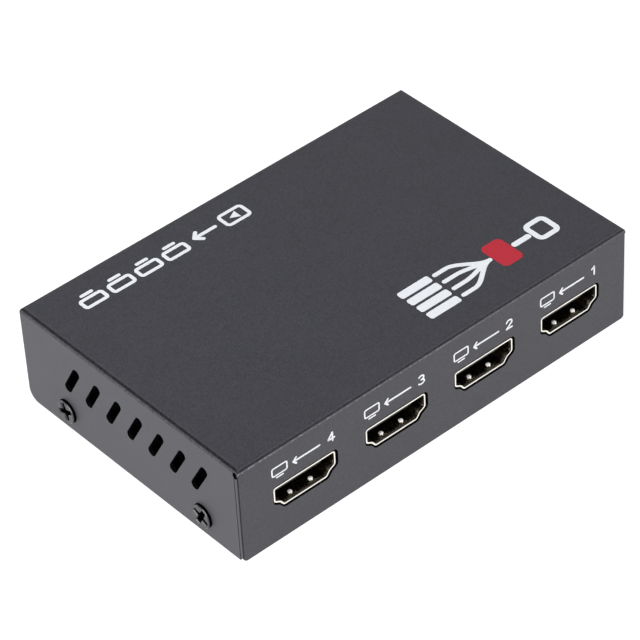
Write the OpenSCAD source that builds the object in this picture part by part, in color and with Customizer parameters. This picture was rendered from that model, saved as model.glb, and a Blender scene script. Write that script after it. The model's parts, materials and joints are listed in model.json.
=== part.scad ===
// Four-way video splitter: a folded sheet-steel box with four output sockets along its front face.
// Sizes are in millimetres. +X runs along the output face, -Y looks out of that face and +Z is up.
// The origin is the middle of the underside.

/* [Box] */
// Width of the box along the output face
box_w = 96; // [92:1:130]
// Depth of the box from the output face to the cover's rear edge
box_d = 62; // [58:1:90]
// Height of the box
box_h = 22; // [20.5:0.5:32]
// Thickness of the sheet steel
sheet = 0.8; // [0.6:0.05:1.2]
// Inside radius of each fold
fold_r = 0.2; // [0.1:0.05:0.8]
// Height of the tray's side walls
tray_side_h = 8; // [6.5:0.1:9]
// Radius of the cover's rear lower corners
cover_corner_r = 2.5; // [1:0.1:5]
// Radius of the cover's rear upper edge
rear_edge_r = 0.7; // [0.1:0.05:0.7]
// Radius of the output face's lower corners
face_corner_r = 1; // [0.5:0.1:2]
// Radius of the output face's upright outer edges
face_edge_r = 0.3; // [0.1:0.05:0.4]
// Half width of the relief hole at the top of each front corner
relief_r = 0.55; // [0.3:0.05:0.6]
// Height of that relief hole
relief_h = 1.4; // [1:0.1:2]

/* [Vents] */
// Number of vent slots in each side
vent_count = 7; // [3:1:8]
// Distance from one vent slot to the next
vent_pitch = 6.07; // [4:0.01:7]
// Length of a vent slot
vent_len = 7.8; // [4:0.1:9]
// Width of a vent slot
vent_w = 2; // [1:0.1:3]
// Lean of the vent slots from upright, tops towards the output face, in degrees
vent_lean = 30; // [0:1:40]
// Place of the middle vent slot along the depth
vent_y = -1.75; // [-4:0.05:4]
// Height of the vent slots' middle
vent_z = 13.2; // [12:0.1:15]

/* [Cover screws] */
// Place of the front cover screws along the depth
screw_front_y = -20.1; // [-23:0.1:-15]
// Place of the rear cover screws along the depth
screw_back_y = 19; // [15:0.1:23]
// Height of the cover screws
screw_z = 4.25; // [3.5:0.05:4.4]
// Thread radius of a cover screw
screw_r = 1.5; // [1:0.05:1.6]
// Length of a cover screw under its head
screw_len = 4; // [3:0.1:5]
// Head radius of a cover screw
screw_head_r = 2.5; // [2.2:0.1:3]
// Head height of a cover screw
screw_head_h = 0.7; // [0.6:0.05:1.2]
// Height of the straight rim below the head's bevel
screw_rim_h = 0.5; // [0.3:0.05:0.5]
// Width of the bevel round the head
screw_bevel = 0.2; // [0.2:0.05:0.8]

/* [Sockets] */
// Distance from one output socket to the next
port_pitch = 22; // [20:0.5:23.5]
// Height of the sockets' middle above the underside
port_z = 10.4; // [10:0.1:11.5]
// Width of a socket's opening
socket_w = 14; // [13:0.05:15]
// Height of a socket's opening
socket_h = 4.55; // [4:0.05:5]
// Length of the opening's straight sides, from the top down
socket_side = 2.8; // [2.4:0.05:3.1]
// Distance that the shoulder runs in below each side
shoulder_in = 1.25; // [0.9:0.05:1.5]
// Drop of the shoulder over that distance
shoulder_drop = 0.68; // [0.5:0.02:0.85]
// Width of the opening's floor
socket_floor_w = 9.9; // [9:0.1:10.5]
// Corner radius of the opening
socket_corner_r = 0.35; // [0.2:0.05:0.5]
// Thickness of a socket's metal shell
shell_wall = 0.3; // [0.3:0.05:0.5]
// Length of a socket's shell
shell_len = 11.5; // [10:0.1:13]
// Distance that a socket's mouth stands out of the panel's outer face
mouth_out = 0.1; // [0:0.05:0.2]
// Distance that a socket's mouth reaches past the board's edge
mouth_overhang = 1.5; // [1.3:0.1:1.9]
// Length of the plastic block in the rear of a socket
block_len = 4.3; // [3:0.1:5]
// Distance from a socket's middle to each spring finger
finger_x = 2.45; // [1.8:0.05:2.8]
// Width of a spring finger
finger_w = 2; // [1.2:0.1:2.4]
// Thickness of a spring finger
finger_t = 0.2; // [0.1:0.05:0.2]
// Distance of a spring finger's knee behind the mouth
finger_knee = 1.5; // [1.4:0.05:1.8]
// Height that the knee stands into the opening
finger_rise = 0.1; // [0.05:0.05:0.3]
// Distance from a spring finger's tip to its knee
finger_lip = 0.6; // [0.5:0.05:0.8]
// Width of the slit round a spring finger
finger_slit = 0.2; // [0.2:0.05:0.4]
// Radius of the dimple on a spring finger
dimple_r = 0.6; // [0.4:0.05:0.65]
// Width of a shell's leg
leg_w = 1.4; // [1:0.1:2]
// Distance of the shell's front legs behind its mouth
leg_front_y = 3; // [2.5:0.1:4]
// Distance of the shell's rear legs behind its mouth
leg_back_y = 9.2; // [7:0.1:9.8]
// Length of the legs and pins below the board
lead_stub = 0.7; // [0.3:0.1:1.2]
// Width of the tongue that carries the contacts
tongue_w = 11; // [10.5:0.1:11.6]
// Thickness of the tongue
tongue_t = 1.2; // [0.8:0.1:1.5]
// Height of the tongue's middle above the opening's middle
tongue_z = 0.25; // [0:0.05:0.5]
// Distance of the tongue's tip behind the mouth
tongue_tip = 1.9; // [1.4:0.1:3]
// Distance from one contact to the next in its row
contact_pitch = 1; // [0.9:0.02:1.05]
// Width of a contact
contact_w = 0.3; // [0.2:0.02:0.4]
// Thickness of a contact
contact_t = 0.2; // [0.1:0.02:0.25]
// Distance of the contacts' ends behind the tongue's tip
contact_setback = 0.5; // [0.2:0.1:1]
// Length of a contact's foot on the board
contact_foot = 1.1; // [0.6:0.1:1.5]

/* [Board] */
// Thickness of the circuit board
board_t = 1.6; // [1:0.1:2]
// Gap between the board's ends and the tray's side walls
board_side_gap = 2.5; // [2:0.1:4]
// Outer radius of a board post
post_r = 2.25; // [2:0.05:2.6]
// Radius of the spigot that fixes a post in the tray's floor
spigot_r = 1.7; // [1.5:0.05:1.9]
// Thread radius of a board screw
board_screw_r = 1.25; // [0.9:0.05:1.35]
// Length of a board screw under its head
board_screw_len = 5; // [3.5:0.1:6]
// Head radius of a board screw
board_head_r = 2.1; // [1.8:0.05:2.4]
// Head height of a board screw
board_head_h = 1.5; // [1:0.1:2]
// Depth of a post's tapped hole past the screw's tip
hole_spare = 0.5; // [0.2:0.1:0.8]
// Distance of the rear posts from the board's ends
post_side = 3.4; // [3:0.1:5]
// Distance of the posts from the board's front and rear edges
post_edge = 4; // [3:0.1:6]

/* [Power jack] */
// Width of the jack's body
jack_w = 9; // [8.5:0.1:10]
// Depth of the jack's body
jack_d = 14; // [13:0.1:15]
// Height of the jack's body
jack_h = 11; // [10.2:0.1:12]
// Height of the jack's axis above the board
jack_axis = 6.2; // [5.5:0.1:6.4]
// Radius of the jack's bore
jack_bore_r = 3.15; // [2.9:0.05:3.4]
// Depth of the jack's bore
jack_bore_len = 9.5; // [8:0.1:11]
// Radius of the round nose that fills the panel's hole
jack_nose_r = 4; // [3.7:0.05:4.3]
// Radius of the jack's centre pin
jack_pin_r = 1; // [0.6:0.05:1.25]
// Radius of the pin's thicker root in the jack's rear wall
jack_root_r = 1.3; // [1.27:0.01:1.6]
// Distance of the pin's tip behind the panel's face
jack_pin_recess = 0.8; // [0.4:0.1:2]
// Width of the jack's leaf spring
jack_leaf_w = 2.6; // [2:0.1:3]
// Gap beside and behind the leaf spring in its slot
jack_leaf_gap = 0.2; // [0.1:0.05:0.4]
// Height that the leaf spring's knee stands into the bore
jack_leaf_rise = 0.3; // [0.1:0.05:0.4]
// Distance of the leaf spring's knee behind the panel's face
jack_leaf_knee = 3.8; // [3:0.1:5]
// Thickness of the jack's front wall before the leaf spring's slot
jack_front_t = 1; // [0.6:0.1:1.4]
// Thickness of the jack's metal strips
jack_strip = 0.35; // [0.2:0.05:0.5]

/* [Power switch] */
// Width of the switch's frame
switch_w = 10.6; // [9.8:0.1:13]
// Depth of the switch's frame
switch_d = 5.4; // [5:0.1:7]
// Height of the switch's frame
switch_h = 5; // [4.6:0.1:6]
// Sheet thickness of the switch's frame
switch_sheet = 0.3; // [0.2:0.05:0.4]
// Travel of the slider
switch_travel = 2; // [1.5:0.1:2.5]
// Width of the slider's body
slider_w = 4.2; // [3.6:0.1:4.6]
// Height of the slider's body
slider_h = 3; // [2.6:0.1:3.4]
// Depth of the slider's body
slider_d = 1.6; // [1.2:0.1:2]
// Width of the slider's knob
knob_w = 2.6; // [1.8:0.1:3]
// Height of the slider's knob
knob_h = 2.2; // [1.6:0.1:2.4]
// Distance that the knob stands out of the rear panel
knob_out = 1.6; // [1:0.1:3]
// Number of grip grooves across the knob's end
knob_grooves = 3; // [2:1:4]
// Depth and width of a grip groove
groove = 0.25; // [0.15:0.05:0.3]
// Width of a leg of the switch's frame
switch_leg_w = 1.6; // [1:0.1:2]
// Width of the sliding contact
wiper_w = 3.4; // [2.8:0.1:3.6]
// Height of the sliding contact
wiper_h = 1.8; // [1:0.1:2.4]
// Thickness of the sliding contact and the terminals
wiper_t = 0.25; // [0.15:0.05:0.35]
// Width of a terminal
terminal_w = 0.6; // [0.4:0.05:0.8]

/* [Indicator lamps] */
// Distance from one lamp to the next
lamp_pitch = 4.5; // [3.6:0.1:5.5]
// Radius of a lamp
lamp_r = 1; // [0.7:0.05:1.4]
// Height of a lamp's domed end
lamp_dome_h = 0.5; // [0.3:0.05:0.7]
// Height of the lamps above the board
lamp_z = 3; // [2:0.1:4]
// Depth of the block that holds the lamps
lamp_block_d = 6; // [5:0.1:8]
// Height of that block
lamp_block_h = 5.2; // [4.8:0.1:7]
// Thickness of the lamps' lead wires
lamp_lead = 0.45; // [0.3:0.05:0.5]

/* [Board parts] */
// Width of the splitter chip
chip_w = 14; // [10:0.5:16]
// Height of the splitter chip's body
chip_h = 1.4; // [1:0.1:2]
// Thickness of the pad between the chip and its heat sink
pad_t = 0.5; // [0.2:0.1:1]
// Width of the heat sink
sink_w = 19; // [14:0.5:21]
// Thickness of the heat sink's base
sink_base = 1.6; // [1:0.1:2.5]
// Height of the heat sink's fins
sink_fin_h = 5; // [2:0.5:6]
// Thickness of a fin
sink_fin_t = 1; // [0.6:0.1:1.4]
// Number of fins
sink_fins = 7; // [4:1:8]
// Distance from one lead of the splitter chip to the next
chip_pitch = 0.8; // [0.5:0.05:1]
// Distance from the splitter chip's corner to its first lead
chip_margin = 1; // [0.6:0.1:1.5]
// Distance of the pad's edge inside the splitter chip's edge
pad_inset = 0.5; // [0.1:0.1:1]
// Length of the crystal's can
crystal_len = 10.6; // [9:0.1:11]
// Width of the crystal's can
crystal_w = 4.1; // [3.5:0.1:4.5]
// Height of the crystal's can
crystal_h = 3.6; // [2.5:0.1:5]
// Width of the flange round the crystal's foot
crystal_rim = 0.4; // [0.2:0.1:0.6]
// Radius of the choke
choke_r = 2.5; // [2:0.1:2.8]
// Height of the choke
choke_h = 3.2; // [2:0.1:5]
// Thickness of the feet under the crystal, the choke and the smoothing capacitor
foot_t = 0.6; // [0.4:0.1:1]
// Distance that a foot stands out past the round body on it
foot_out = 0.15; // [0.1:0.05:0.3]
// Distance from the heat sink's edge to the middle of the parts beside it
beside_sink = 10; // [9:0.5:12]
// Place of the memory chip along the depth
memory_y = 4; // [3.5:0.1:8]
// Place of the crystal along the depth
crystal_y = -5; // [-8:0.1:-4]
// Place of the choke along the depth
choke_y = 9; // [7:0.1:10]
// Distance of the regulators' middle from the board's end
regulator_side = 8; // [6:0.1:10]
// Place of the rear regulator along the depth
regulator_back_y = 1; // [0:0.1:2]
// Place of the front regulator along the depth
regulator_front_y = -8; // [-10:0.1:-7]
// Radius of the smoothing capacitor
cap_r = 3.15; // [2.5:0.05:3.3]
// Height of the smoothing capacitor
cap_h = 6.8; // [5:0.1:9]

/* [Clearances] */
// Gap between the cover and the tray inside it
cover_fit = 0.05; // [0.02:0.01:0.15]
// Gap where two folded walls meet at a corner
corner_gap = 0.18; // [0.1:0.02:0.36]
// Height of the cover's lower edge above the underside
cover_lift = 0.05; // [0.05:0.05:0.5]
// Distance of the rear panel inside the cover's rear edge
panel_recess = 0.3; // [0.1:0.05:0.8]
// Mean gap round each socket in its cut-out
socket_gap = 0.44; // [0.36:0.01:0.54]
// Distance that the cover's cut-outs sit right of the sockets and below them
cut_shift = 0.34; // [0:0.01:0.34]
// Gap round a part where it passes through the rear panel
panel_gap = 0.2; // [0.1:0.05:0.3]
// Gap between a thread and its tapped hole
thread_fit = 0.03; // [0.02:0.01:0.05]
// Gap between a screw and its clearance hole
screw_gap = 0.2; // [0.1:0.05:0.3]
// Gap round legs and pins in the board's holes
lead_gap = 0.15; // [0.1:0.05:0.2]
// Gap between the still pieces of a bought-in part
part_fit = 0.04; // [0.02:0.01:0.06]
// Running gap round the switch's slider
slider_gap = 0.1; // [0.05:0.01:0.15]
// Free space kept between neighbouring parts on the board
part_gap = 1.2; // [0.8:0.1:1.6]

/* [Hidden] */
// Number of output sockets, and of the lamps that belong to them
ports = 4;
$fn = 48;

// Overshoot of a cutting shape past the surface that it cuts
over = 1;

// Cross recess of a screw, as shares of its head's radius and height
cross_len = 1.54;
cross_w = 0.36;
cross_depth = 0.65;

// Folded sheet
fold_out = fold_r + sheet;
front_y = -box_d / 2;
panel_y = box_d / 2 - panel_recess;
panel_in = panel_y - sheet;
tray_w = box_w - 2 * (sheet + cover_fit);
tray_top = box_h - sheet - cover_fit;
tray_front = front_y + sheet + corner_gap;
relief_z = box_h - sheet / 2 - relief_h / 2 - fold_r;

// Sockets and board
shell_w = socket_w + 2 * shell_wall;
shell_h = socket_h + 2 * shell_wall;
board_top = port_z - shell_h / 2;
board_z = board_top - board_t;
board_w = tray_w - 2 * (sheet + board_side_gap);
board_front = front_y - mouth_out + mouth_overhang;
board_back = panel_y + mouth_out - mouth_overhang;
back_post_x = board_w / 2 - post_side;
posts = [
    [-port_pitch, board_front + post_edge],
    [port_pitch, board_front + post_edge],
    [-back_post_x, board_back - post_edge],
    [back_post_x, board_back - post_edge]
];

// Inside of a socket, measured from its mouth and from the middle of its opening
block_front = shell_len - block_len;
finger_root = block_front - finger_slit;
finger_tip = finger_knee - finger_lip;
finger_sunk = 0.05;
finger_weld = 0.4;
leg_weld = 0.5;
contact_tip = tongue_tip + contact_setback;
contact_post = shell_len + contact_t;
upper_row = 10;
lower_row = 9;

// Rear panel's row of parts, one beside the other
jack_x = -(back_post_x - board_head_r - part_gap - jack_w / 2);
switch_x = jack_x + jack_w / 2 + 2 * part_gap + switch_w / 2;
input_x = back_post_x - board_head_r - part_gap - shell_w / 2;
lamp_x = (switch_x + switch_w / 2 + input_x - shell_w / 2) / 2;
lamp_count = ports + 1;

// Power jack, measured from the panel's inner face and from the board
jack_slot_w = jack_leaf_w + 2 * jack_leaf_gap;
jack_slot_back = sheet - jack_bore_len - jack_leaf_gap;
leaf_low = jack_axis - jack_bore_r - jack_strip - jack_leaf_gap;
leaf_high = jack_axis - jack_bore_r + jack_leaf_rise;
leaf_knee = sheet - jack_leaf_knee;
leaf_end = -jack_front_t - jack_leaf_gap;

// Power switch, measured from the panel's inner face and from the board
switch_in = part_fit + switch_sheet;
slider_front = -switch_in - slider_gap;
slider_back = slider_front - slider_d;
cavity_back = slider_back - wiper_t - slider_gap;
knob_z = switch_h / 2;
knob_end = sheet + knob_out;
switch_mid = switch_d / 2 + switch_leg_w / 2;
slider_rest = -switch_travel / 2;

// Board parts, measured from the board's top
chip_lift = 0.1;
lead_t = 0.15;
lead_out = 0.5;
lead_foot = 0.5;
lead_sink = 0.2;
sink_bottom = chip_lift + chip_h + pad_t;
jack_tail_back = -jack_d - jack_strip;
side_place = sink_w / 2 + beside_sink;
control_place = [-side_place, 0];
memory_place = [side_place, memory_y];
crystal_place = [side_place, crystal_y];
choke_place = [-side_place, choke_y];
regulator_places = [
    [regulator_side - board_w / 2, regulator_back_y],
    [regulator_side - board_w / 2, regulator_front_y]
];
cap_place = [jack_x, panel_in + jack_tail_back - part_gap - cap_r - foot_out];
control_size = [10, 4, 1.5];
control_leads = 8;
memory_size = [5, 4, 1.5];
memory_leads = 4;
small_pitch = 1.27;
regulator_size = [6.5, 3.5, 1.6];
regulator_leads = 3;
regulator_pitch = 2.3;
tab_size = [3, 2.2, 0.5];
chip_cap = [1, 0.5, 0.5];
chip_cap_step = 2.6;
chip_cap_row = 4;
chip_cap_gap = 1.5;

// A vector at unit length
function unit(v) = v / norm(v);

// An outline with each edge moved outwards by g; its points run clockwise
function grown(p, g) = [
    for (i = [0:len(p) - 1])
        let (
            before = p[(i + len(p) - 1) % len(p)],
            after = p[(i + 1) % len(p)],
            u = unit(p[i] - before),
            v = unit(after - p[i]),
            n = [-u[1], u[0]],
            m = [-v[1], v[0]]
        )
        p[i] + g * (n + m) / (1 + n * m)
];

// An outline with each corner turned into an arc of radius r, in a few steps
function rounded(p, r, steps = 3) = [
    for (i = [0:len(p) - 1])
        let (
            u = unit(p[(i + len(p) - 1) % len(p)] - p[i]),
            v = unit(p[(i + 1) % len(p)] - p[i]),
            half = acos(u * v) / 2,
            centre = p[i] + unit(u + v) * r / sin(half),
            start = p[i] + u * r / tan(half) - centre,
            end = p[i] + v * r / tan(half) - centre,
            from = atan2(start[1], start[0]),
            turn = atan2(start[0] * end[1] - start[1] * end[0], start * end)
        )
        for (k = [0:steps])
            centre + r * [cos(from + turn * k / steps), sin(from + turn * k / steps)]
];

// Corners of a socket's opening, clockwise from the upper left
function socket_corners() =
    let (
        a = socket_w / 2,
        top = socket_h / 2,
        side = top - socket_side,
        right = [
            [a, top],
            [a, side],
            [a - shoulder_in, side - shoulder_drop],
            [socket_floor_w / 2, -top]
        ]
    )
    concat(
        right,
        [for (i = [len(right) - 1:-1:0]) [-right[i][0], right[i][1]]]
    );

// Outline of a socket's opening moved outwards by g
function socket_outline(g) = rounded(grown(socket_corners(), g), socket_corner_r + g);

// Place of output socket i along the face, the first one at the right
function port_x(i) = ((ports + 1) / 2 - i) * port_pitch;

// Place of lamp i along the rear panel
function lamp_place(i) = lamp_x + (i - (lamp_count - 1) / 2) * lamp_pitch;

// Flat outline of x and z drawn out along +Y from y = 0
module along_y(length) {
    translate([0, length, 0])
        rotate([90, 0, 0])
            linear_extrude(length) children();
}

// Flat outline of y and z drawn out along X, equally to both sides
module across_x(length) {
    translate([-length / 2, 0, 0])
        rotate([90, 0, 90])
            linear_extrude(length) children();
}

// Round bar along Y from y0 to y1
module rod_y(r, y0, y1) {
    translate([0, y1, 0])
        rotate([90, 0, 0])
            cylinder(r = r, h = y1 - y0);
}

// Block between two opposite corners
module block(low, high) {
    translate(low) cube(high - low);
}

// Upright outline with rounded upper corners
module arch(w, z0, z1, r) {
    translate([-w / 2, z0]) square([w, z1 - r - z0]);
    translate([r - w / 2, z0]) square([w - 2 * r, z1 - z0]);
    for (side = [-1, 1])
        translate([side * (w / 2 - r), z1 - r]) circle(r);
}

// Upright outline with only its upper corner at y0 rounded
module nose(y0, y1, z0, z1, r) {
    translate([y0, z0]) square([y1 - y0, z1 - r - z0]);
    translate([y0 + r, z0]) square([y1 - y0 - r, z1 - z0]);
    translate([y0 + r, z1 - r]) circle(r);
}

// What a rounded corner takes off a square one that lies at 0, 0 and points down left
module corner_waste(r) {
    difference() {
        translate([-over, -over]) square(r + over);
        translate([r, r]) circle(r);
    }
}

// Slot with round ends, standing upright
module slot(length, w) {
    translate([-w / 2, w / 2 - length / 2]) square([w, length - w]);
    for (side = [-1, 1])
        translate([0, side * (length - w) / 2]) circle(w / 2);
}

// Outer form of the cover or, with an inset, its hollow
module cover_form(inset, beyond) {
    r = fold_out - inset;
    z0 = cover_lift - beyond;
    z1 = box_h - inset;
    y0 = front_y + inset;
    y1 = box_d / 2 + beyond;
    intersection() {
        translate([0, y0, 0]) along_y(y1 - y0) arch(box_w - 2 * inset, z0, z1, r);
        across_x(box_w) nose(y0, y1, z0, z1, r);
    }
}

// Outer form of the tray or, with an inset, its hollow
module tray_form(inset, beyond) {
    r = fold_out - inset;
    z1 = tray_top + beyond;
    y0 = tray_front - beyond;
    y1 = panel_y - inset;
    intersection() {
        translate([0, y0, 0])
            along_y(y1 - y0)
                mirror([0, 1]) arch(tray_w - 2 * inset, -z1, -inset, r);
        across_x(tray_w)
            rotate(180) nose(-y1, -y0, -z1, -inset, r);
    }
}

// Round holes for the cover screws, right through both sides
module side_holes(r) {
    for (y = [screw_front_y, screw_back_y])
        translate([0, y, screw_z])
            rotate([0, 90, 0])
                cylinder(r = r, h = box_w + 2 * over, center = true);
}

// Children at each output socket's mouth
module at_output(i) {
    translate([port_x(i), front_y - mouth_out, port_z]) children();
}

// Children at the input socket's mouth, turned to face the rear
module at_input() {
    translate([input_x, panel_y + mouth_out, port_z])
        rotate([0, 0, 180]) children();
}

// Children at every socket's mouth
module at_sockets() {
    for (i = [1:ports]) at_output(i) children();
    at_input() children();
}

// What a socket's cut-out takes from its panel
module socket_cut() {
    translate([0, mouth_out - over, 0])
        along_y(sheet + 2 * over)
            polygon(socket_outline(shell_wall + socket_gap));
}

// Children where the power jack meets the panel's inner face and the board
module at_jack() {
    translate([jack_x, panel_in, board_top]) children();
}

// Children where the power switch meets the panel's inner face and the board
module at_switch() {
    translate([switch_x, panel_in, board_top]) children();
}

// Children at lamp i, on its axis at the panel's inner face
module at_lamp(i) {
    translate([lamp_place(i), panel_in, board_top + lamp_z]) children();
}

// Cover: top, output face and both sides, folded from one sheet
module top_cover() {
    color("#48484c")
        difference() {
            cover_form(0, 0);
            cover_form(sheet, over);
            for (i = [1:ports])
                at_output(i)
                    translate([cut_shift, 0, -cut_shift]) socket_cut();
            for (i = [0:vent_count - 1])
                translate([0, vent_y + (i - (vent_count - 1) / 2) * vent_pitch, vent_z])
                    across_x(box_w + 2 * over)
                        rotate(vent_lean) slot(vent_len, vent_w);
            side_holes(screw_r + screw_gap);
            block(
                [-box_w / 2 - over, front_y + sheet, cover_lift - over],
                [box_w / 2 + over, tray_front, relief_z]
            );
            for (side = [-1, 1]) {
                translate([side * box_w / 2, front_y + relief_r + corner_gap / 2, relief_z])
                    across_x(2 * fold_out) slot(relief_h, 2 * relief_r);
                translate([side * box_w / 2, front_y - over, cover_lift])
                    along_y(over + sheet + corner_gap / 2)
                        mirror([side > 0 ? 1 : 0, 0]) corner_waste(face_corner_r);
                translate([side * box_w / 2, front_y, cover_lift - over])
                    linear_extrude(relief_z - cover_lift + over)
                        mirror([side > 0 ? 1 : 0, 0]) corner_waste(face_edge_r);
            }
            translate([0, box_d / 2, cover_lift])
                across_x(box_w + 2 * over)
                    mirror([1, 0]) corner_waste(cover_corner_r);
            translate([0, box_d / 2, box_h])
                across_x(box_w + 2 * over)
                    rotate(180) corner_waste(rear_edge_r);
        }
}

// Tray: floor, rear panel and two low sides, folded from one sheet
module base_tray() {
    color("#4b4b4f")
        difference() {
            tray_form(0, 0);
            tray_form(sheet, over);
            block(
                [-box_w / 2, tray_front - over, tray_side_h],
                [box_w / 2, panel_in, box_h]
            );
            block(
                [-box_w / 2, panel_in - corner_gap, fold_out],
                [box_w / 2, panel_in, box_h]
            );
            side_holes(screw_r + thread_fit);
            for (p = posts)
                translate([p[0], p[1], -over])
                    cylinder(r = spigot_r + part_fit, h = sheet + 2 * over);
            panel_holes();
        }
}

// Holes in the rear panel for the input socket, the jack, the switch's knob and the lamps
module panel_holes() {
    at_input() socket_cut();
    at_jack()
        translate([0, 0, jack_axis])
            rod_y(jack_nose_r + panel_gap, -over, sheet + over);
    at_switch() knob_slot(-over, sheet + over);
    for (i = [0:lamp_count - 1])
        at_lamp(i) rod_y(lamp_r + panel_gap, -over, sheet + over);
}

// Half outline of a round bar of height h, whose top is a dome of height rise
module domed(r, h, rise) {
    dome = (r * r + rise * rise) / (2 * rise);
    intersection() {
        square([r, h]);
        union() {
            square([r, h - rise]);
            translate([0, h - dome]) circle(dome);
        }
    }
}

// Cross recess in the top of a screw's head of radius r and height h
module cross_recess(r, h) {
    for (turn = [0, 90])
        rotate([0, 0, turn])
            translate([0, 0, h])
                cube([cross_len * r, cross_w * r, 2 * cross_depth * h], center = true);
}

// Pan head with a low dome and a cross recess, seated at z = 0
module pan_head(r, h, rim) {
    difference() {
        rotate_extrude() domed(r, h, h - rim);
        cross_recess(r, h);
    }
}

// Flat head with a bevelled edge and a cross recess, seated at z = 0
module flat_head(r, h, rim, bevel) {
    difference() {
        rotate_extrude() polygon([[0, 0], [r, 0], [r, rim], [r - bevel, h], [0, h]]);
        cross_recess(r, h);
    }
}

// Four screws that hold the cover to the tray's sides
module cover_screws() {
    color("#202022")
        for (side = [0, 1])
            for (y = [screw_front_y, screw_back_y])
                mirror([side, 0, 0])
                    translate([box_w / 2, y, screw_z])
                        rotate([0, 90, 0]) {
                            flat_head(screw_head_r, screw_head_h, screw_rim_h, screw_bevel);
                            translate([0, 0, -screw_len]) cylinder(r = screw_r, h = screw_len);
                        }
}

// Circuit board with its holes for screws, legs and pins
module main_board() {
    color("#1e5a34")
        difference() {
            block([-board_w / 2, board_front, board_z], [board_w / 2, board_back, board_top]);
            for (p = posts)
                translate([p[0], p[1], board_z - over])
                    cylinder(r = board_screw_r + screw_gap, h = board_t + 2 * over);
            at_sockets() shell_legs(lead_gap);
            at_jack() jack_pin_tail(lead_gap);
            at_jack() jack_leaf_tail(lead_gap);
            at_switch() switch_legs(lead_gap);
            at_switch() terminal_tails(lead_gap);
            for (i = [0:lamp_count - 1]) at_lamp(i) lamp_tails(lead_gap);
        }
}

// Four posts that carry the board, each with a spigot fixed in the tray's floor
module board_posts() {
    color("#b9b4a6")
        for (p = posts)
            translate([p[0], p[1], 0])
                difference() {
                    union() {
                        translate([0, 0, sheet]) cylinder(r = post_r, h = board_z - sheet);
                        cylinder(r = spigot_r, h = sheet + over);
                    }
                    translate([0, 0, board_top - board_screw_len - hole_spare])
                        cylinder(r = board_screw_r + thread_fit, h = board_screw_len + over);
                }
}

// Four screws that hold the board to its posts
module board_screws() {
    color("#c9c6bd")
        for (p = posts)
            translate([p[0], p[1], board_top]) {
                pan_head(board_head_r, board_head_h, board_head_h / 2);
                translate([0, 0, -board_screw_len]) cylinder(r = board_screw_r, h = board_screw_len);
            }
}

// Legs of a socket's shell, from its sides down through the board, grown by g for their holes
module shell_legs(g) {
    for (side = [0, 1])
        for (y = [leg_front_y, leg_back_y])
            mirror([side, 0, 0])
                block(
                    [socket_w / 2 - g, y - leg_w / 2 - g, -shell_h / 2 - board_t - lead_stub - g],
                    [shell_w / 2 + g, y + leg_w / 2 + g, socket_h / 2 - socket_side + leg_weld]
                );
}

// Spring finger cut from a socket's lower wall, with a dimple at its knee
module spring_finger() {
    low = -socket_h / 2;
    across_x(finger_w)
        polygon([
            [finger_root + finger_weld, low - finger_sunk],
            [finger_root + finger_weld, low - finger_sunk - finger_t],
            [finger_knee, low + finger_rise - finger_t],
            [finger_tip, low + finger_sunk - finger_t],
            [finger_tip, low + finger_sunk],
            [finger_knee, low + finger_rise]
        ]);
    translate([0, finger_knee, low + finger_rise])
        difference() {
            translate([0, 0, -dimple_r / 2]) sphere(dimple_r);
            block([-2 * dimple_r, -2 * dimple_r, -2 * dimple_r], [2 * dimple_r, 2 * dimple_r, -finger_t / 2]);
        }
}

// Slit round a spring finger in a socket's lower wall
module finger_opening() {
    block(
        [-finger_w / 2 - finger_slit, finger_tip - finger_slit, -shell_h / 2 - over],
        [finger_w / 2 + finger_slit, finger_root, -socket_h / 2 + finger_slit]
    );
}

// Children at each of a socket's four spring fingers
module at_fingers() {
    for (flip = [0, 1])
        for (side = [-1, 1])
            mirror([0, 0, flip])
                translate([side * finger_x, 0, 0]) children();
}

// Metal shell of a socket, its mouth at y = 0
module socket_shell() {
    color("#d8d4c8") {
        difference() {
            union() {
                along_y(shell_len) polygon(socket_outline(shell_wall));
                shell_legs(0);
            }
            translate([0, -over, 0])
                along_y(shell_len + 2 * over) polygon(socket_outline(0));
            at_fingers() finger_opening();
        }
        at_fingers() spring_finger();
    }
}

// Contact at x and z: a strip along the tongue, a post and a foot on the board, grown by g
module contact(x, z, g) {
    foot_z = -shell_h / 2;
    y1 = contact_post + contact_t;
    translate([x, 0, 0])
        across_x(contact_w + 2 * g)
            polygon([
                [contact_tip - g, z - g],
                [contact_post, z - g],
                [contact_post, foot_z],
                [contact_post + contact_foot, foot_z],
                [contact_post + contact_foot, foot_z + contact_t],
                [y1, foot_z + contact_t],
                [y1, z + contact_t + g],
                [contact_tip - g, z + contact_t + g]
            ]);
}

// Both rows of a socket's contacts, grown by g for their passages
module contact_rows(g) {
    for (i = [0:upper_row - 1])
        contact((i - (upper_row - 1) / 2) * contact_pitch, tongue_z + tongue_t / 2, g);
    for (i = [0:lower_row - 1])
        contact((i - (lower_row - 1) / 2) * contact_pitch, tongue_z - tongue_t / 2 - contact_t, g);
}

// Plastic block in the rear of a socket, with the tongue that carries the contacts
module socket_insulator() {
    color("#161616") {
        block(
            [-tongue_w / 2, tongue_tip, tongue_z - tongue_t / 2],
            [tongue_w / 2, block_front, tongue_z + tongue_t / 2]
        );
        difference() {
            translate([0, block_front, 0])
                along_y(shell_len - block_front) polygon(socket_outline(-part_fit));
            contact_rows(part_fit);
        }
    }
}

// Nineteen contacts of a socket
module socket_contacts() {
    color("#c9a24a") contact_rows(0);
}

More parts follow.
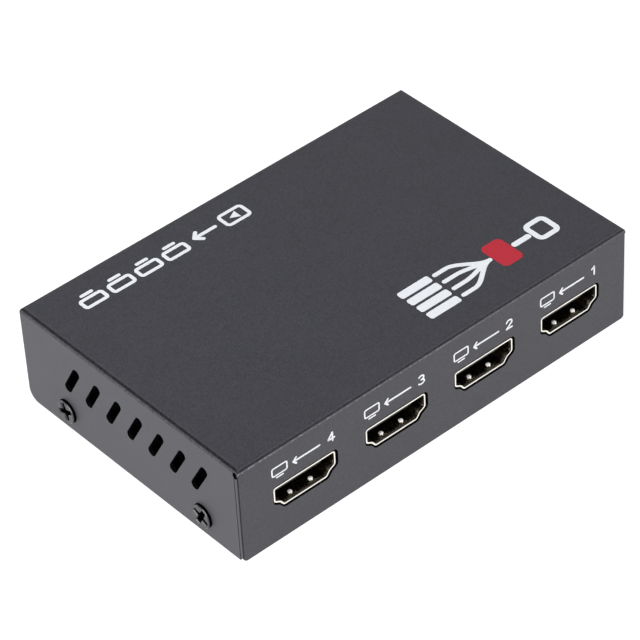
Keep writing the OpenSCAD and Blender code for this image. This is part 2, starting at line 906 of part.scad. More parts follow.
// Plastic body of the power jack, its round nose in the panel's hole
module dc_jack_body() {
    color("#1a1a1b")
        at_jack()
            difference() {
                union() {
                    block([-jack_w / 2, -jack_d, 0], [jack_w / 2, -part_fit, jack_h]);
                    translate([0, 0, jack_axis]) rod_y(jack_nose_r, -over, sheet);
                }
                translate([0, 0, jack_axis])
                    rod_y(jack_bore_r, sheet - jack_bore_len, sheet + over);
                translate([0, 0, jack_axis])
                    rod_y(jack_root_r + part_fit, -jack_d - over, 0);
                block(
                    [-jack_slot_w / 2, jack_slot_back, -over],
                    [jack_slot_w / 2, -jack_front_t, jack_axis - jack_bore_r / 2]
                );
            }
}

// Flat tail of the jack's centre pin, behind its body and down through the board
module jack_pin_tail(g) {
    block(
        [-jack_root_r - g, jack_tail_back - g, -board_t - lead_stub - g],
        [jack_root_r + g, -jack_d + g, jack_axis]
    );
}

// Centre pin of the power jack, with a round tip
module dc_jack_pin() {
    color("#d9d5c9")
        at_jack() {
            translate([0, 0, jack_axis]) {
                rod_y(jack_root_r, jack_tail_back, sheet - jack_bore_len);
                rod_y(jack_pin_r, -jack_d, sheet - jack_pin_recess - jack_pin_r);
                translate([0, sheet - jack_pin_recess - jack_pin_r, 0]) sphere(jack_pin_r);
            }
            jack_pin_tail(0);
        }
}

// Tail of the jack's leaf spring, down through the board
module jack_leaf_tail(g) {
    block(
        [-jack_leaf_w / 2 - g, jack_slot_back - g, -board_t - lead_stub - g],
        [jack_leaf_w / 2 + g, jack_slot_back + jack_strip + g, leaf_low + jack_strip]
    );
}

// Leaf spring that meets the outside of the plug's barrel
module dc_jack_leaf() {
    color("#cfcabb")
        at_jack() {
            jack_leaf_tail(0);
            across_x(jack_leaf_w)
                polygon([
                    [jack_slot_back, leaf_low],
                    [leaf_knee, leaf_high - jack_strip],
                    [leaf_end, leaf_low],
                    [leaf_end, leaf_low + jack_strip],
                    [leaf_knee, leaf_high],
                    [jack_slot_back, leaf_low + jack_strip]
                ]);
        }
}

// Legs of the switch's frame, down through the board, grown by g for their holes
module switch_legs(g) {
    for (side = [0, 1])
        mirror([side, 0, 0])
            block(
                [switch_w / 2 - switch_sheet - g, -switch_mid - g, -board_t - lead_stub - g],
                [switch_w / 2 + g, switch_leg_w - switch_mid + g, switch_sheet]
            );
}

// Slot for the knob and its travel, from y0 to y1
module knob_slot(y0, y1) {
    half_w = knob_w / 2 + switch_travel / 2 + panel_gap;
    half_h = knob_h / 2 + panel_gap;
    block([-half_w, y0, knob_z - half_h], [half_w, y1, knob_z + half_h]);
}

// Metal frame over the switch's base, open below and behind
module switch_frame() {
    color("#c4c2bc")
        at_switch() {
            difference() {
                block([-switch_w / 2, -switch_d, 0], [switch_w / 2, -part_fit, switch_h]);
                block(
                    [-switch_w / 2 + switch_sheet, -switch_d - over, -over],
                    [switch_w / 2 - switch_sheet, -switch_in, switch_h - switch_sheet]
                );
                knob_slot(-switch_in - over, over);
            }
            switch_legs(0);
        }
}

// Plastic base of the switch, with the cavity that the slider runs in
module switch_base() {
    half = switch_w / 2 - switch_sheet - part_fit;
    run = slider_w / 2 + switch_travel / 2 + slider_gap;
    color("#2b2622")
        at_switch()
            difference() {
                block(
                    [-half, -switch_d, 0],
                    [half, -switch_in - part_fit, switch_h - switch_sheet - part_fit]
                );
                block(
                    [-run, cavity_back, knob_z - slider_h / 2 - slider_gap],
                    [run, over, knob_z + slider_h / 2 + slider_gap]
                );
                terminals(part_fit);
            }
}

// Straight parts of the switch's terminals, through the base's rear wall
module terminals(g) {
    for (i = [-1:1])
        translate([i * switch_travel, 0, 0])
            block(
                [-terminal_w / 2 - g, -switch_d - wiper_t, knob_z - wiper_t / 2 - g],
                [terminal_w / 2 + g, cavity_back + (g > 0 ? over : 0), knob_z + wiper_t / 2 + g]
            );
}

// Tails of the switch's terminals, behind the base and down through the board
module terminal_tails(g) {
    for (i = [-1:1])
        translate([i * switch_travel, 0, 0])
            block(
                [-terminal_w / 2 - g, -switch_d - wiper_t - g, -board_t - lead_stub - g],
                [terminal_w / 2 + g, -switch_d + g, knob_z + wiper_t / 2]
            );
}

// Three terminals of the switch
module switch_terminals() {
    color("#d0b36a")
        at_switch() {
            terminals(0);
            terminal_tails(0);
        }
}

// Slider of the switch, its knob standing out of the rear panel
module switch_slider() {
    color("#151516")
        at_switch()
            translate([slider_rest, 0, knob_z]) {
                block(
                    [-slider_w / 2, slider_back, -slider_h / 2],
                    [slider_w / 2, slider_front, slider_h / 2]
                );
                difference() {
                    block([-knob_w / 2, slider_front, -knob_h / 2], [knob_w / 2, knob_end, knob_h / 2]);
                    for (i = [1:knob_grooves])
                        translate([i * knob_w / (knob_grooves + 1) - knob_w / 2, 0, 0])
                            block(
                                [-groove / 2, knob_end - groove, -knob_h],
                                [groove / 2, knob_end + over, knob_h]
                            );
                }
            }
}

// Sliding contact on the slider's rear face
module switch_wiper() {
    color("#d0b36a")
        at_switch()
            translate([slider_rest, 0, knob_z])
                block(
                    [-wiper_w / 2, slider_back - wiper_t, -wiper_h / 2],
                    [wiper_w / 2, slider_back, wiper_h / 2]
                );
}

// Block behind the panel that holds the lamps in a row
module lamp_block() {
    color("#1b1b1c")
        difference() {
            translate([lamp_x, panel_in, board_top])
                block(
                    [-lamp_count * lamp_pitch / 2, -lamp_block_d, 0],
                    [lamp_count * lamp_pitch / 2, -part_fit, lamp_block_h]
                );
            for (i = [0:lamp_count - 1])
                at_lamp(i) rod_y(lamp_r + part_fit, -lamp_block_d - over, over);
        }
}

// Lamp with a round end that comes out level with the panel
module lamp(i) {
    length = lamp_block_d + sheet;
    at_lamp(i)
        translate([0, -lamp_block_d, 0])
            rotate([-90, 0, 0])
                rotate_extrude() domed(lamp_r, length, lamp_dome_h);
}

// Power lamp
module power_lamp() {
    color("#b8352c") lamp(0);
}

// Lamp of output socket i
module port_lamp(i) {
    color("#3f8f57") lamp(i);
}

// Pair of lead wires behind one lamp, down through the board, grown by g for their holes
module lamp_tails(g) {
    for (side = [-1, 1])
        translate([side * lamp_r / 2, 0, 0])
            block(
                [-lamp_lead / 2 - g, -lamp_block_d - lamp_lead - g, -lamp_z - board_t - lead_stub - g],
                [lamp_lead / 2 + g, -lamp_block_d + g, lamp_lead / 2]
            );
}

// Lead wires of all the lamps
module lamp_leads() {
    color("#cfccc4")
        for (i = [0:lamp_count - 1]) at_lamp(i) lamp_tails(0);
}

// Row of bent leads along one side of a chip, the chip's edge at distance edge from its middle
module lead_row(count, pitch, edge, mid) {
    for (i = [0:count - 1])
        translate([(i - (count - 1) / 2) * pitch, 0, 0])
            across_x(pitch / 2)
                polygon([
                    [edge - lead_sink, mid],
                    [edge + lead_out, mid],
                    [edge + lead_out, lead_t],
                    [edge + lead_out + lead_foot, lead_t],
                    [edge + lead_out + lead_foot, 0],
                    [edge + lead_out - lead_t, 0],
                    [edge + lead_out - lead_t, mid - lead_t],
                    [edge - lead_sink, mid - lead_t]
                ]);
}

// Chip of a size with rows of leads on its long sides and, if asked for, on its ends
module chip(size, side_leads, end_leads, pitch) {
    mid = chip_lift + size[2] / 2;
    translate([-size[0] / 2, -size[1] / 2, chip_lift]) cube(size);
    for (turn = [0, 180])
        rotate([0, 0, turn]) lead_row(side_leads, pitch, size[1] / 2, mid);
    if (end_leads > 0)
        for (turn = [90, 270])
            rotate([0, 0, turn]) lead_row(end_leads, pitch, size[0] / 2, mid);
}

// Children on the board's top at a place
module on_board(place) {
    translate([place[0], place[1], board_top]) children();
}

// Square foot under a round part, reaching half its width to each side
module square_foot(half) {
    block([-half, -half, 0], [half, half, foot_t]);
}

// Splitter chip in the middle of the board
module splitter_chip() {
    leads = floor((chip_w - 2 * chip_margin) / chip_pitch) + 1;
    color("#232325") on_board([0, 0]) chip([chip_w, chip_w, chip_h], leads, leads, chip_pitch);
}

// Soft pad that carries heat from the chip to its heat sink
module thermal_pad() {
    half = chip_w / 2 - pad_inset;
    color("#9aa3a8")
        on_board([0, 0])
            block([-half, -half, chip_lift + chip_h], [half, half, sink_bottom]);
}

// Finned heat sink on the splitter chip
module heat_sink() {
    half = sink_w / 2;
    step = (sink_w - sink_fin_t) / (sink_fins - 1);
    color("#b4b7ba")
        on_board([0, 0])
            translate([0, 0, sink_bottom]) {
                block([-half, -half, 0], [half, half, sink_base]);
                for (i = [0:sink_fins - 1])
                    translate([i * step - half, -half, 0])
                        cube([sink_fin_t, sink_w, sink_base + sink_fin_h]);
            }
}

// Control chip beside the splitter chip
module control_chip() {
    color("#232325") on_board(control_place) chip(control_size, control_leads, 0, small_pitch);
}

// Memory chip that holds the display data
module memory_chip() {
    color("#232325") on_board(memory_place) chip(memory_size, memory_leads, 0, small_pitch);
}

// Two voltage regulators, each with a wide cooling tab
module regulators() {
    color("#29292b")
        for (place = regulator_places)
            on_board(place) {
                chip(regulator_size, regulator_leads, 0, regulator_pitch);
                translate([-tab_size[0] / 2, regulator_size[1] / 2 - lead_sink, 0]) cube(tab_size);
            }
}

// Quartz crystal in a flat metal can
module crystal() {
    color("#c9cacb")
        on_board(crystal_place) {
            linear_extrude(foot_t)
                rotate(90) slot(crystal_len + 2 * crystal_rim, crystal_w + 2 * crystal_rim);
            linear_extrude(crystal_h)
                rotate(90) slot(crystal_len, crystal_w);
        }
}

// Wound choke of the power supply
module choke() {
    color("#3a3a3c")
        on_board(choke_place) {
            square_foot(choke_r + foot_out);
            cylinder(r = choke_r, h = choke_h);
        }
}

// Upright smoothing capacitor on its square foot
module smoothing_capacitor() {
    color("#a9abb0")
        on_board(cap_place) {
            square_foot(cap_r + foot_out);
            cylinder(r = cap_r, h = cap_h);
        }
}

// Row of small ceramic capacitors behind each socket
module chip_capacitors() {
    color("#a58a62")
        at_sockets()
            for (i = [0:chip_cap_row - 1])
                translate([
                    (i - (chip_cap_row - 1) / 2) * chip_cap_step - chip_cap[0] / 2,
                    contact_post + contact_foot + chip_cap_gap,
                    -shell_h / 2
                ])
                    cube(chip_cap);
}

top_cover();
base_tray();
cover_screws();
main_board();
board_posts();
board_screws();
for (i = [1:ports]) {
    at_output(i) socket_shell();
    at_output(i) socket_insulator();
    at_output(i) socket_contacts();
    port_lamp(i);
}
at_input() socket_shell();  // input_shell
at_input() socket_insulator();  // input_insulator
at_input() socket_contacts();  // input_contacts
dc_jack_body();
dc_jack_pin();
dc_jack_leaf();
switch_frame();
switch_base();
switch_terminals();
switch_slider();
switch_wiper();
lamp_block();
power_lamp();
lamp_leads();
splitter_chip();
thermal_pad();
heat_sink();
control_chip();
memory_chip();
regulators();
crystal();
choke();
smoothing_capacitor();
chip_capacitors();
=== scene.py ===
"""Looks of a four-way video splitter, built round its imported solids.

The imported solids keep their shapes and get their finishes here.  The printed marks, the caps on
the sockets' spring fingers and the threaded screws with their cross recesses are surfaces worked
out with numpy.  Sizes are in millimetres until a mesh is made, and a mesh is in metres.
"""

import json
import logging
import math
from dataclasses import dataclass, field
from enum import Enum
from typing import ClassVar, Optional, Sequence, Union

import bpy
import numpy as np
from mathutils import Matrix, Vector

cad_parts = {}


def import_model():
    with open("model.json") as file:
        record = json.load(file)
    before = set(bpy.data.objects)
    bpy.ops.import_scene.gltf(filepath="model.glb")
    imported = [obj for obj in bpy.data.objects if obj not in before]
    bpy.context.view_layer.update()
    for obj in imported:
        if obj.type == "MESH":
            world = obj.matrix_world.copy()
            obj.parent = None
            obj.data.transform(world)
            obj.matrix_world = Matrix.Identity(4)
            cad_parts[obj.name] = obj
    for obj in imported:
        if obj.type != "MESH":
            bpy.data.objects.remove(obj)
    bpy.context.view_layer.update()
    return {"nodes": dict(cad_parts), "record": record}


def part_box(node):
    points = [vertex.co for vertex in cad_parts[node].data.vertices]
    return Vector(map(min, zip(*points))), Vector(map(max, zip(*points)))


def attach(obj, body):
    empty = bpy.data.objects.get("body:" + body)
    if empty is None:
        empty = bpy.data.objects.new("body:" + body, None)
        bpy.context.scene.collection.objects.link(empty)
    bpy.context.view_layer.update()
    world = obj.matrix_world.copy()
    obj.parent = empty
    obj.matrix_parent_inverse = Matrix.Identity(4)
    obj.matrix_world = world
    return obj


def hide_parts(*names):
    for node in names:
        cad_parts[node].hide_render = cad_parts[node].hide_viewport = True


LOG = logging.getLogger("splitter")
MM = 0.001
# Mesh attribute with each screw point's share of painted shade, in the recess and on the rim.
SHADE_ATTRIBUTE = "painted_shade"
# Range that most values of a noise keep to, and the range of a share.
MOST = (0.3, 0.7)
UNIT = (0.0, 1.0)
# Degrees between the points of an arc, and the points of a swing.
ARC_STEP = 6
SWING_POINTS = 28
# Distance between the points of a stroke, its fewest points if closed or open, and the angles of
# the points in its round ends.
STROKE_STEP = 0.12
STROKE_FEWEST = {True: 24, False: 3}
END_ANGLES = np.linspace(0.18, np.pi / 2, 7)

Points = np.ndarray
Numbers = Sequence[float]
Colour = tuple[float, float, float]
Socket = bpy.types.NodeSocket
Feed = Union[Socket, float, Numbers]
Look = tuple[Socket, Socket, Socket]


class Rider(Enum):
    """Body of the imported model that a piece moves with."""

    BOX = "box"


class Stock(Enum):
    """Name of a finish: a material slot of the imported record, or one of the scene's own."""

    COATED_STEEL = "coated_steel"
    BLACK_SCREW = "black_screw"
    BRIGHT_NICKEL = "bright_nickel"
    BLACK_PLASTIC = "black_plastic"
    GOLD_PLATE = "gold_plate"
    BOARD_GREEN = "board_green"
    BARE_STEEL = "bare_steel"
    CONTACT_BRASS = "contact_brass"
    LAMP_RED = "lamp_red"
    LAMP_GREEN = "lamp_green"
    CHIP_BLACK = "chip_black"
    SINK_ALUMINIUM = "sink_aluminium"
    GREY_PAD = "grey_pad"
    FERRITE = "ferrite"
    TAN_CERAMIC = "tan_ceramic"
    WHITE_INK = "white_ink"
    RED_INK = "red_ink"
    # Matt near-white finish that paints the highlight on the spring fingers' dimples.
    HIGHLIGHT_WHITE = "painted_highlight_white"


class Pattern(Enum):
    """Small pattern that breaks up a finish, as its noise's factor for each axis."""

    GRAIN = (1, 1, 1)
    BRUSHED = (1, 14, 1)


@dataclass
class Patch:
    """A surface as points in millimetres and faces as rows of point numbers.

    Attributes:
        points: One row of three numbers for each point.
        faces: Arrays of point numbers, one row for each face.
    """

    points: Points
    faces: list[Points]

    def placed(self, origin: Numbers, axes: Points) -> "Patch":
        """The same surface with its own axes laid along the rows of axes, from an origin."""
        return Patch(np.array(origin) + self.points @ axes, self.faces)

    def outward(self) -> "Patch":
        """The same closed surface with its faces turned outwards.

        The signed volume is the sum, over the triangles that fan out from each face's first
        corner, of the triple product of the corners over six.  Below zero, faces are reversed.

        Returns:
            The patch, its faces reversed where needed.
        """
        volume = 0.0
        for rows in self.faces:
            first = self.points[rows[:, 0]]
            for k in range(1, rows.shape[1] - 1):
                second, third = self.points[rows[:, k]], self.points[rows[:, k + 1]]
                volume += float(np.sum(first * np.cross(second, third)))
        if volume >= 0:
            return self
        return Patch(self.points, [rows[:, ::-1] for rows in self.faces])


def joined(patches: Sequence[Patch]) -> Patch:
    """Several surfaces as one.

    Args:
        patches: The surfaces, each with its own point numbers.

    Returns:
        One patch, with the point numbers of each surface moved past those before it.
    """
    counts = np.array([len(p.points) for p in patches])
    starts = np.concatenate([[0], np.cumsum(counts)[:-1]])
    faces = [rows + start for p, start in zip(patches, starts) for rows in p.faces]
    return Patch(np.concatenate([p.points for p in patches]), faces)


def grid_faces(rows: int, columns: int, wrap_rows: bool, wrap_columns: bool) -> Points:
    """Four-sided faces of a grid of points that are numbered row by row.

    Args:
        rows: Number of rows.
        columns: Number of points in a row.
        wrap_rows: Whether the last row joins the first.
        wrap_columns: Whether the last column joins the first.

    Returns:
        One row of four point numbers for each face.
    """
    i, j = np.meshgrid(
        np.arange(rows if wrap_rows else rows - 1),
        np.arange(columns if wrap_columns else columns - 1),
        indexing="ij",
    )
    i2, j2 = (i + 1) % rows, (j + 1) % columns
    corners = [i * columns + j, i * columns + j2, i2 * columns + j2, i2 * columns + j]
    return np.stack([c.ravel() for c in corners], axis=1)


def fan_faces(ring: Points, pole: int) -> Points:
    """Triangles from a closed ring of points to one pole."""
    return np.stack([ring, np.roll(ring, -1), np.full(len(ring), pole)], axis=1)


def capped(rings: Points, first: Numbers, last: Numbers) -> Patch:
    """A closed surface through rings of points, with a pole at each end.

    Args:
        rings: Points by ring, by place round the ring and by axis.
        first: Pole inside the first ring.
        last: Pole inside the last ring.

    Returns:
        The surface, its points ring by ring and then the poles.
    """
    rows, count = rings.shape[:2]
    around = np.arange(count)
    faces = [
        grid_faces(rows, count, False, True),
        fan_faces(around[::-1], rows * count),
        fan_faces(around + (rows - 1) * count, rows * count + 1),
    ]
    return Patch(np.concatenate([rings.reshape(-1, 3), [first, last]]), faces).outward()


def full_turn(count: int) -> Points:
    """Angles of points that lie evenly round a circle."""
    return np.linspace(0, 2 * np.pi, count, endpoint=False)


def turned(radius: Points, angle: Points, height: Points) -> Points:
    """Points about the upright axis: radius times cosine and sine of the angle, and height."""
    r, a, z = np.broadcast_arrays(radius, angle, height)
    return np.stack([r * np.cos(a), r * np.sin(a), z], axis=-1)


def axes_of(first: Numbers, second: Numbers) -> Points:
    """Three axes as rows: two directions and their cross product."""
    return np.stack([first, second, np.cross(first, second)]).astype(float)


def make_piece(
    name: str, patch: Patch, material: bpy.types.Material, smooth_below: float
) -> bpy.types.Object:
    """Puts a surface into the scene as an object at the origin.

    Args:
        name: Name of the object and of its mesh.
        patch: The surface, in millimetres.
        material: Its finish.
        smooth_below: Edges that turn by less than this angle, in degrees, are shaded smooth.

    Returns:
        The new object.
    """
    mesh = bpy.data.meshes.new(name)
    rows = [row for part in patch.faces for row in part.tolist()]
    mesh.from_pydata((patch.points * MM).tolist(), [], rows)
    mesh.validate()
    mesh.materials.append(material)
    mesh.shade_smooth()
    mesh.set_sharp_from_angle(angle=math.radians(smooth_below))
    piece = bpy.data.objects.new(name, mesh)
    bpy.context.scene.collection.objects.link(piece)
    LOG.info("piece %s: %d points, %d faces", name, len(patch.points), len(rows))
    return piece


def corners_of(node: str) -> Points:
    """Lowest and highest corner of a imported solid, as two rows in millimetres."""
    return np.array(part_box(node)) / MM


def middle_of(node: str) -> Points:
    """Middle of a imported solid's box, in millimetres."""
    return corners_of(node).mean(axis=0)


def mount_places(record: dict) -> dict[str, Points]:
    """Places of the record's mounts by name, in millimetres."""
    return {row["name"]: np.array(row["pos_m"]) / MM for row in record["mounts"]}


def polyline(*corners: Numbers) -> Points:
    """A path of straight runs through the corners."""
    return np.array(corners, float)


def arc(centre: Numbers, radii: Numbers, start: float, end: float) -> Points:
    """Part of an ellipse as a path.

    The point at angle a is the centre plus the radii times the cosine and the sine of a.

    Args:
        centre: Middle of the ellipse.
        radii: Its half width and half height.
        start: First angle, in degrees.
        end: Last angle, in degrees.

    Returns:
        The path.
    """
    angle = np.radians(np.linspace(start, end, max(4, int(abs(end - start) / ARC_STEP))))
    return np.array(centre) + np.stack([np.cos(angle), np.sin(angle)], axis=1) * np.array(radii)


def ring(centre: Numbers, radii: Numbers) -> Points:
    """A whole ellipse as a path, whose last point lies a step before its first."""
    return arc(centre, radii, 0, 360 - ARC_STEP)


def rounded_box(centre: Numbers, size: Numbers, radius: float) -> Points:
    """Closed outline of a rectangle with round corners, anticlockwise.

    Args:
        centre: Middle of the rectangle.
        size: Its width and height.
        radius: Radius of its corners.

    Returns:
        The outline: four quarter circles, which the closing runs join.
    """
    inner = np.array(size) / 2 - radius
    turns = [(1, 1, 0), (-1, 1, 90), (-1, -1, 180), (1, -1, 270)]
    corners = [
        arc(np.array(centre) + inner * [sx, sy], (radius, radius), a, a + 90) for sx, sy, a in turns
    ]
    return np.concatenate(corners)


def swing(start: Numbers, end: Numbers) -> Points:
    """A path that leaves and arrives level and swings smoothly in between.

    With t from 0 to 1, x runs evenly and y follows three t squared less two t cubed.

    Args:
        start: First point.
        end: Last point.

    Returns:
        The path.
    """
    t = np.linspace(0, 1, SWING_POINTS)
    a, b = np.array(start, float), np.array(end, float)
    return a + (b - a) * np.stack([t, t * t * (3 - 2 * t)], axis=1)


def lifted(outline: Points, height: float) -> Points:
    """A flat outline's points at a height."""
    return np.column_stack([outline, np.full(len(outline), height)])


def ribbon(path: Points, width: float, low: float, high: float, closed: bool) -> Patch:
    """A flat strip: an upright rectangle carried along a path.

    At each point of the path the rectangle reaches half the width to the left and to the right,
    and from low to high.  An open strip runs half a width past its ends, where its half width
    is the height of a circle about the end, so that it ends in a half disc.

    Args:
        path: Points in the plane.
        width: Width of the strip.
        low: Lower height of the strip.
        high: Upper height of the strip.
        closed: Whether the path's last point joins its first.

    Returns:
        The closed surface of the strip.
    """
    half = width / 2
    if closed:
        path = np.concatenate([path, path[:1]])
    else:
        ahead, behind = path[1] - path[0], path[-1] - path[-2]
        head = path[:1] - half * ahead / np.linalg.norm(ahead)
        tail = path[-1:] + half * behind / np.linalg.norm(behind)
        path = np.concatenate([head, path, tail])
    reach = np.concatenate([[0], np.cumsum(np.linalg.norm(np.diff(path, axis=0), axis=1))])
    count = max(STROKE_FEWEST[closed], int(reach[-1] / STROKE_STEP))
    if closed:
        at = np.linspace(0, reach[-1], count, endpoint=False)
        halves = np.full(count, half)
    else:
        cap = half * (1 - np.cos(END_ANGLES))
        body = np.linspace(half, reach[-1] - half, count)[1:-1]
        at = np.concatenate([cap, body, reach[-1] - cap[::-1]])
        end = np.sqrt(half**2 - (half - cap) ** 2)
        halves = np.concatenate([end, np.full(len(body), half), end[::-1]])
    line = np.stack([np.interp(at, reach, path[:, k]) for k in (0, 1)], axis=1)
    if closed:
        run = np.roll(line, -1, axis=0) - np.roll(line, 1, axis=0)
    else:
        run = np.gradient(line, axis=0)
    run /= np.linalg.norm(run, axis=1, keepdims=True)
    side = np.stack([-run[:, 1], run[:, 0]], axis=1) * halves[:, None]
    edges = [(line + side, low), (line + side, high), (line - side, high), (line - side, low)]
    points = np.stack([lifted(edge, z) for edge, z in edges], axis=1).reshape(-1, 3)
    faces = [grid_faces(len(line), 4, closed, True)]
    if not closed:
        last = len(points) - 1
        faces.append(np.array([[0, 1, 2, 3], [last, last - 1, last - 2, last - 3]]))
    return Patch(points, faces).outward()


def plate(outline: Points, low: float, high: float) -> Patch:
    """A flat plate: a closed outline filled from its middle, with an upright edge.

    The two parameters run round the outline and from the middle of the upper side, over the
    edge, to the middle of the lower side.

    Args:
        outline: Points in the plane, seen in full from their middle.
        low: Height of the lower side.
        high: Height of the upper side.

    Returns:
        The closed surface of the plate.
    """
    middle = outline.mean(axis=0)
    sides = np.stack([lifted(outline, high), lifted(outline, low)])
    return capped(sides, (*middle, high), (*middle, low))


NUMERALS: dict[int, list[Points]] = {
    1: [np.concatenate([polyline((0.08, 0.76), (0.2, 0.84)), polyline((0.36, 1.0), (0.36, 0.0))])],
    2: [
        np.concatenate([arc((0.31, 0.71), (0.29, 0.29), 170, -38), polyline((0.02, 0.0))]),
        polyline((0.02, 0.0), (0.62, 0.0)),
    ],
    3: [
        arc((0.28, 0.75), (0.26, 0.25), 150, -90),
        arc((0.28, 0.25), (0.31, 0.25), 90, -150),
    ],
    4: [
        polyline((0.46, 1.0), (0.0, 0.28), (0.66, 0.28)),
        polyline((0.46, 0.98), (0.46, 0.0)),
    ],
}


@dataclass
class Drawing:
    """Flat marks on one face of the box, drawn in a plane that is then laid on the face.

    Attributes:
        origin: Point of the face where the plane's own 0, 0 lies.
        right: Direction on the face that reads to the right.
        up: Direction on the face that reads upwards.
        rise: Height of the ink above the face.
        sink: Depth of the ink's foot in the face.
        step: Height of each mark over the one drawn before it.
        stretch: Width and height of the numerals' unit.
        foot_gap: Room between a display and its foot, as a share of the height.
        foot_half: Half the width of a display's foot, as a share of the width.
        corner: Radius of a display's corners, as a share of the height.
        patches: The marks drawn so far.
    """

    origin: Numbers
    right: Numbers
    up: Numbers
    rise: float = 0.03
    sink: float = 0.01
    step: float = 0.002
    stretch: tuple[float, float] = (1.2, 1.0)
    foot_gap: float = 0.1
    foot_half: float = 0.2
    corner: float = 0.12
    patches: list[Patch] = field(default_factory=list)

    def _top(self) -> float:
        """Height of the next mark's upper side."""
        return self.rise + self.step * len(self.patches)

    def stroke(self, path: Points, width: float, closed: bool = False) -> None:
        """Draws a line of a width along a path."""
        self.patches.append(ribbon(path, width, -self.sink, self._top(), closed))

    def fill(self, outline: Points) -> None:
        """Draws a filled shape."""
        self.patches.append(plate(outline, -self.sink, self._top()))

    def wedge(self, left: float, right: float, half: float) -> None:
        """Draws a filled triangle that points to the right, with half its height given."""
        self.fill(polyline((left, -half), (right, 0), (left, half)))

    def numeral(self, digit: int, corner: Numbers, height: float, width: float) -> None:
        """Draws a plain numeral.

        Args:
            digit: The numeral, from 1 to 4.
            corner: Its lower left corner.
            height: Its height.
            width: Width of its line.
        """
        scale = (height - width) * np.array(self.stretch)
        for path in NUMERALS[digit]:
            self.stroke(np.array(corner) + width / 2 + path * scale, width)

    def screen(self, centre: Numbers, size: Numbers, width: float) -> None:
        """Draws a display on a short foot, with its outline in a line of a width.

        Args:
            centre: Middle of the whole mark.
            size: Its width and height, foot and all.
            width: Width of its line.
        """
        x, y = centre
        w, h = size
        foot = width + self.foot_gap * h
        face = (w - width, h - foot - width)
        self.stroke(rounded_box((x, y + foot / 2), face, self.corner * h), width, True)
        level = y - h / 2 + width / 2
        reach = self.foot_half * w
        self.stroke(polyline((x - reach, level), (x + reach, level)), width)

    def arrow(self, start: Numbers, end: Numbers, width: float, barb: float) -> None:
        """Draws a straight arrow.

        Args:
            start: Its tail.
            end: Its tip.
            width: Width of its line.
            barb: Length of each side of its head along the arrow.
        """
        a, b = np.array(start, float), np.array(end, float)
        run = (b - a) / np.linalg.norm(b - a)
        side = np.array([-run[1], run[0]])
        for tail in (a, b - barb * (run - side), b - barb * (run + side)):
            self.stroke(np.stack([tail, b]), width)

    def lay(self) -> Patch:
        """The marks as one surface on the face, in the box's own axes."""
        return joined(self.patches).placed(self.origin, axes_of(self.right, self.up))


def times(colour: Colour, factor: float) -> Colour:
    """A colour made lighter or darker."""
    return tuple(min(1.0, part * factor) for part in colour)


def bare_material(name: str) -> bpy.types.Material:
    """A new material with no nodes in it."""
    material = bpy.data.materials.new(name)
    material.use_nodes = True
    material.node_tree.nodes.clear()
    return material


@dataclass(frozen=True)
class Band:
    """A value that rises from 0 over one range, stays and falls back to 0 over another.

    Attributes:
        rise: Range of the rise.
        fall: Range of the fall.
        most: The value in between.
    """

    rise: tuple[float, float]
    fall: tuple[float, float]
    most: float


class Nodes:
    """A node tree, with short ways to add and join its nodes."""

    def __init__(self, tree: bpy.types.NodeTree) -> None:
        """Takes a tree to work on."""
        self.tree = tree

    def add(self, kind: str) -> bpy.types.Node:
        """A new node of a kind."""
        return self.tree.nodes.new(kind)

    def feed(self, value: Feed, goal: Socket) -> None:
        """Links an output to an input, or sets a number or a colour there.

        Args:
            value: The output, or what is the same all over.
            goal: The input.
        """
        if isinstance(value, Socket):
            self.tree.links.new(value, goal)
        else:
            goal.default_value = value

    def calc(self, operation: str, *values: Feed) -> Socket:
        """Works out a value.

        Args:
            operation: What a maths node calls the operation.
            values: What it is about, in the order of the node's inputs.

        Returns:
            The new value.
        """
        node = self.add("ShaderNodeMath")
        node.operation = operation
        for value, goal in zip(values, node.inputs):
            self.feed(value, goal)
        return node.outputs[0]

    def parts(self, vector: Socket) -> list[Socket]:
        """The three numbers of a vector."""
        node = self.add("ShaderNodeSeparateXYZ")
        self.feed(vector, node.inputs[0])
        return list(node.outputs)

    def span(self, source: Socket, old: Numbers, new: Sequence[Feed]) -> Socket:
        """A value carried from one range to another and held there.

        Args:
            source: The value.
            old: Its range.
            new: The range that it gets.

        Returns:
            The new value.
        """
        node = self.add("ShaderNodeMapRange")
        names = ("Value", "From Min", "From Max", "To Min", "To Max")
        for name, value in zip(names, (source, *old, *new)):
            self.feed(value, node.inputs[name])
        return node.outputs["Result"]

    def blend(self, share: Socket, first: Feed, second: Feed) -> Socket:
        """Two colours mixed.

        Args:
            share: Share of the second.
            first: One colour.
            second: The other.

        Returns:
            The new colour.
        """
        node = self.add("ShaderNodeMix")
        node.data_type = "RGBA"
        for place, value in {0: share, 6: first, 7: second}.items():
            self.feed(value, node.inputs[place])
        return node.outputs[2]

    def seen(self) -> Socket:
        """1 for rays from the camera, a mirror or a glass, and 0 for others.

        Returns:
            The value.
        """
        rays = self.add("ShaderNodeLightPath").outputs
        bright = self.calc("MAXIMUM", rays["Is Camera Ray"], rays["Is Glossy Ray"])
        return self.calc("MAXIMUM", bright, rays["Is Transmission Ray"])


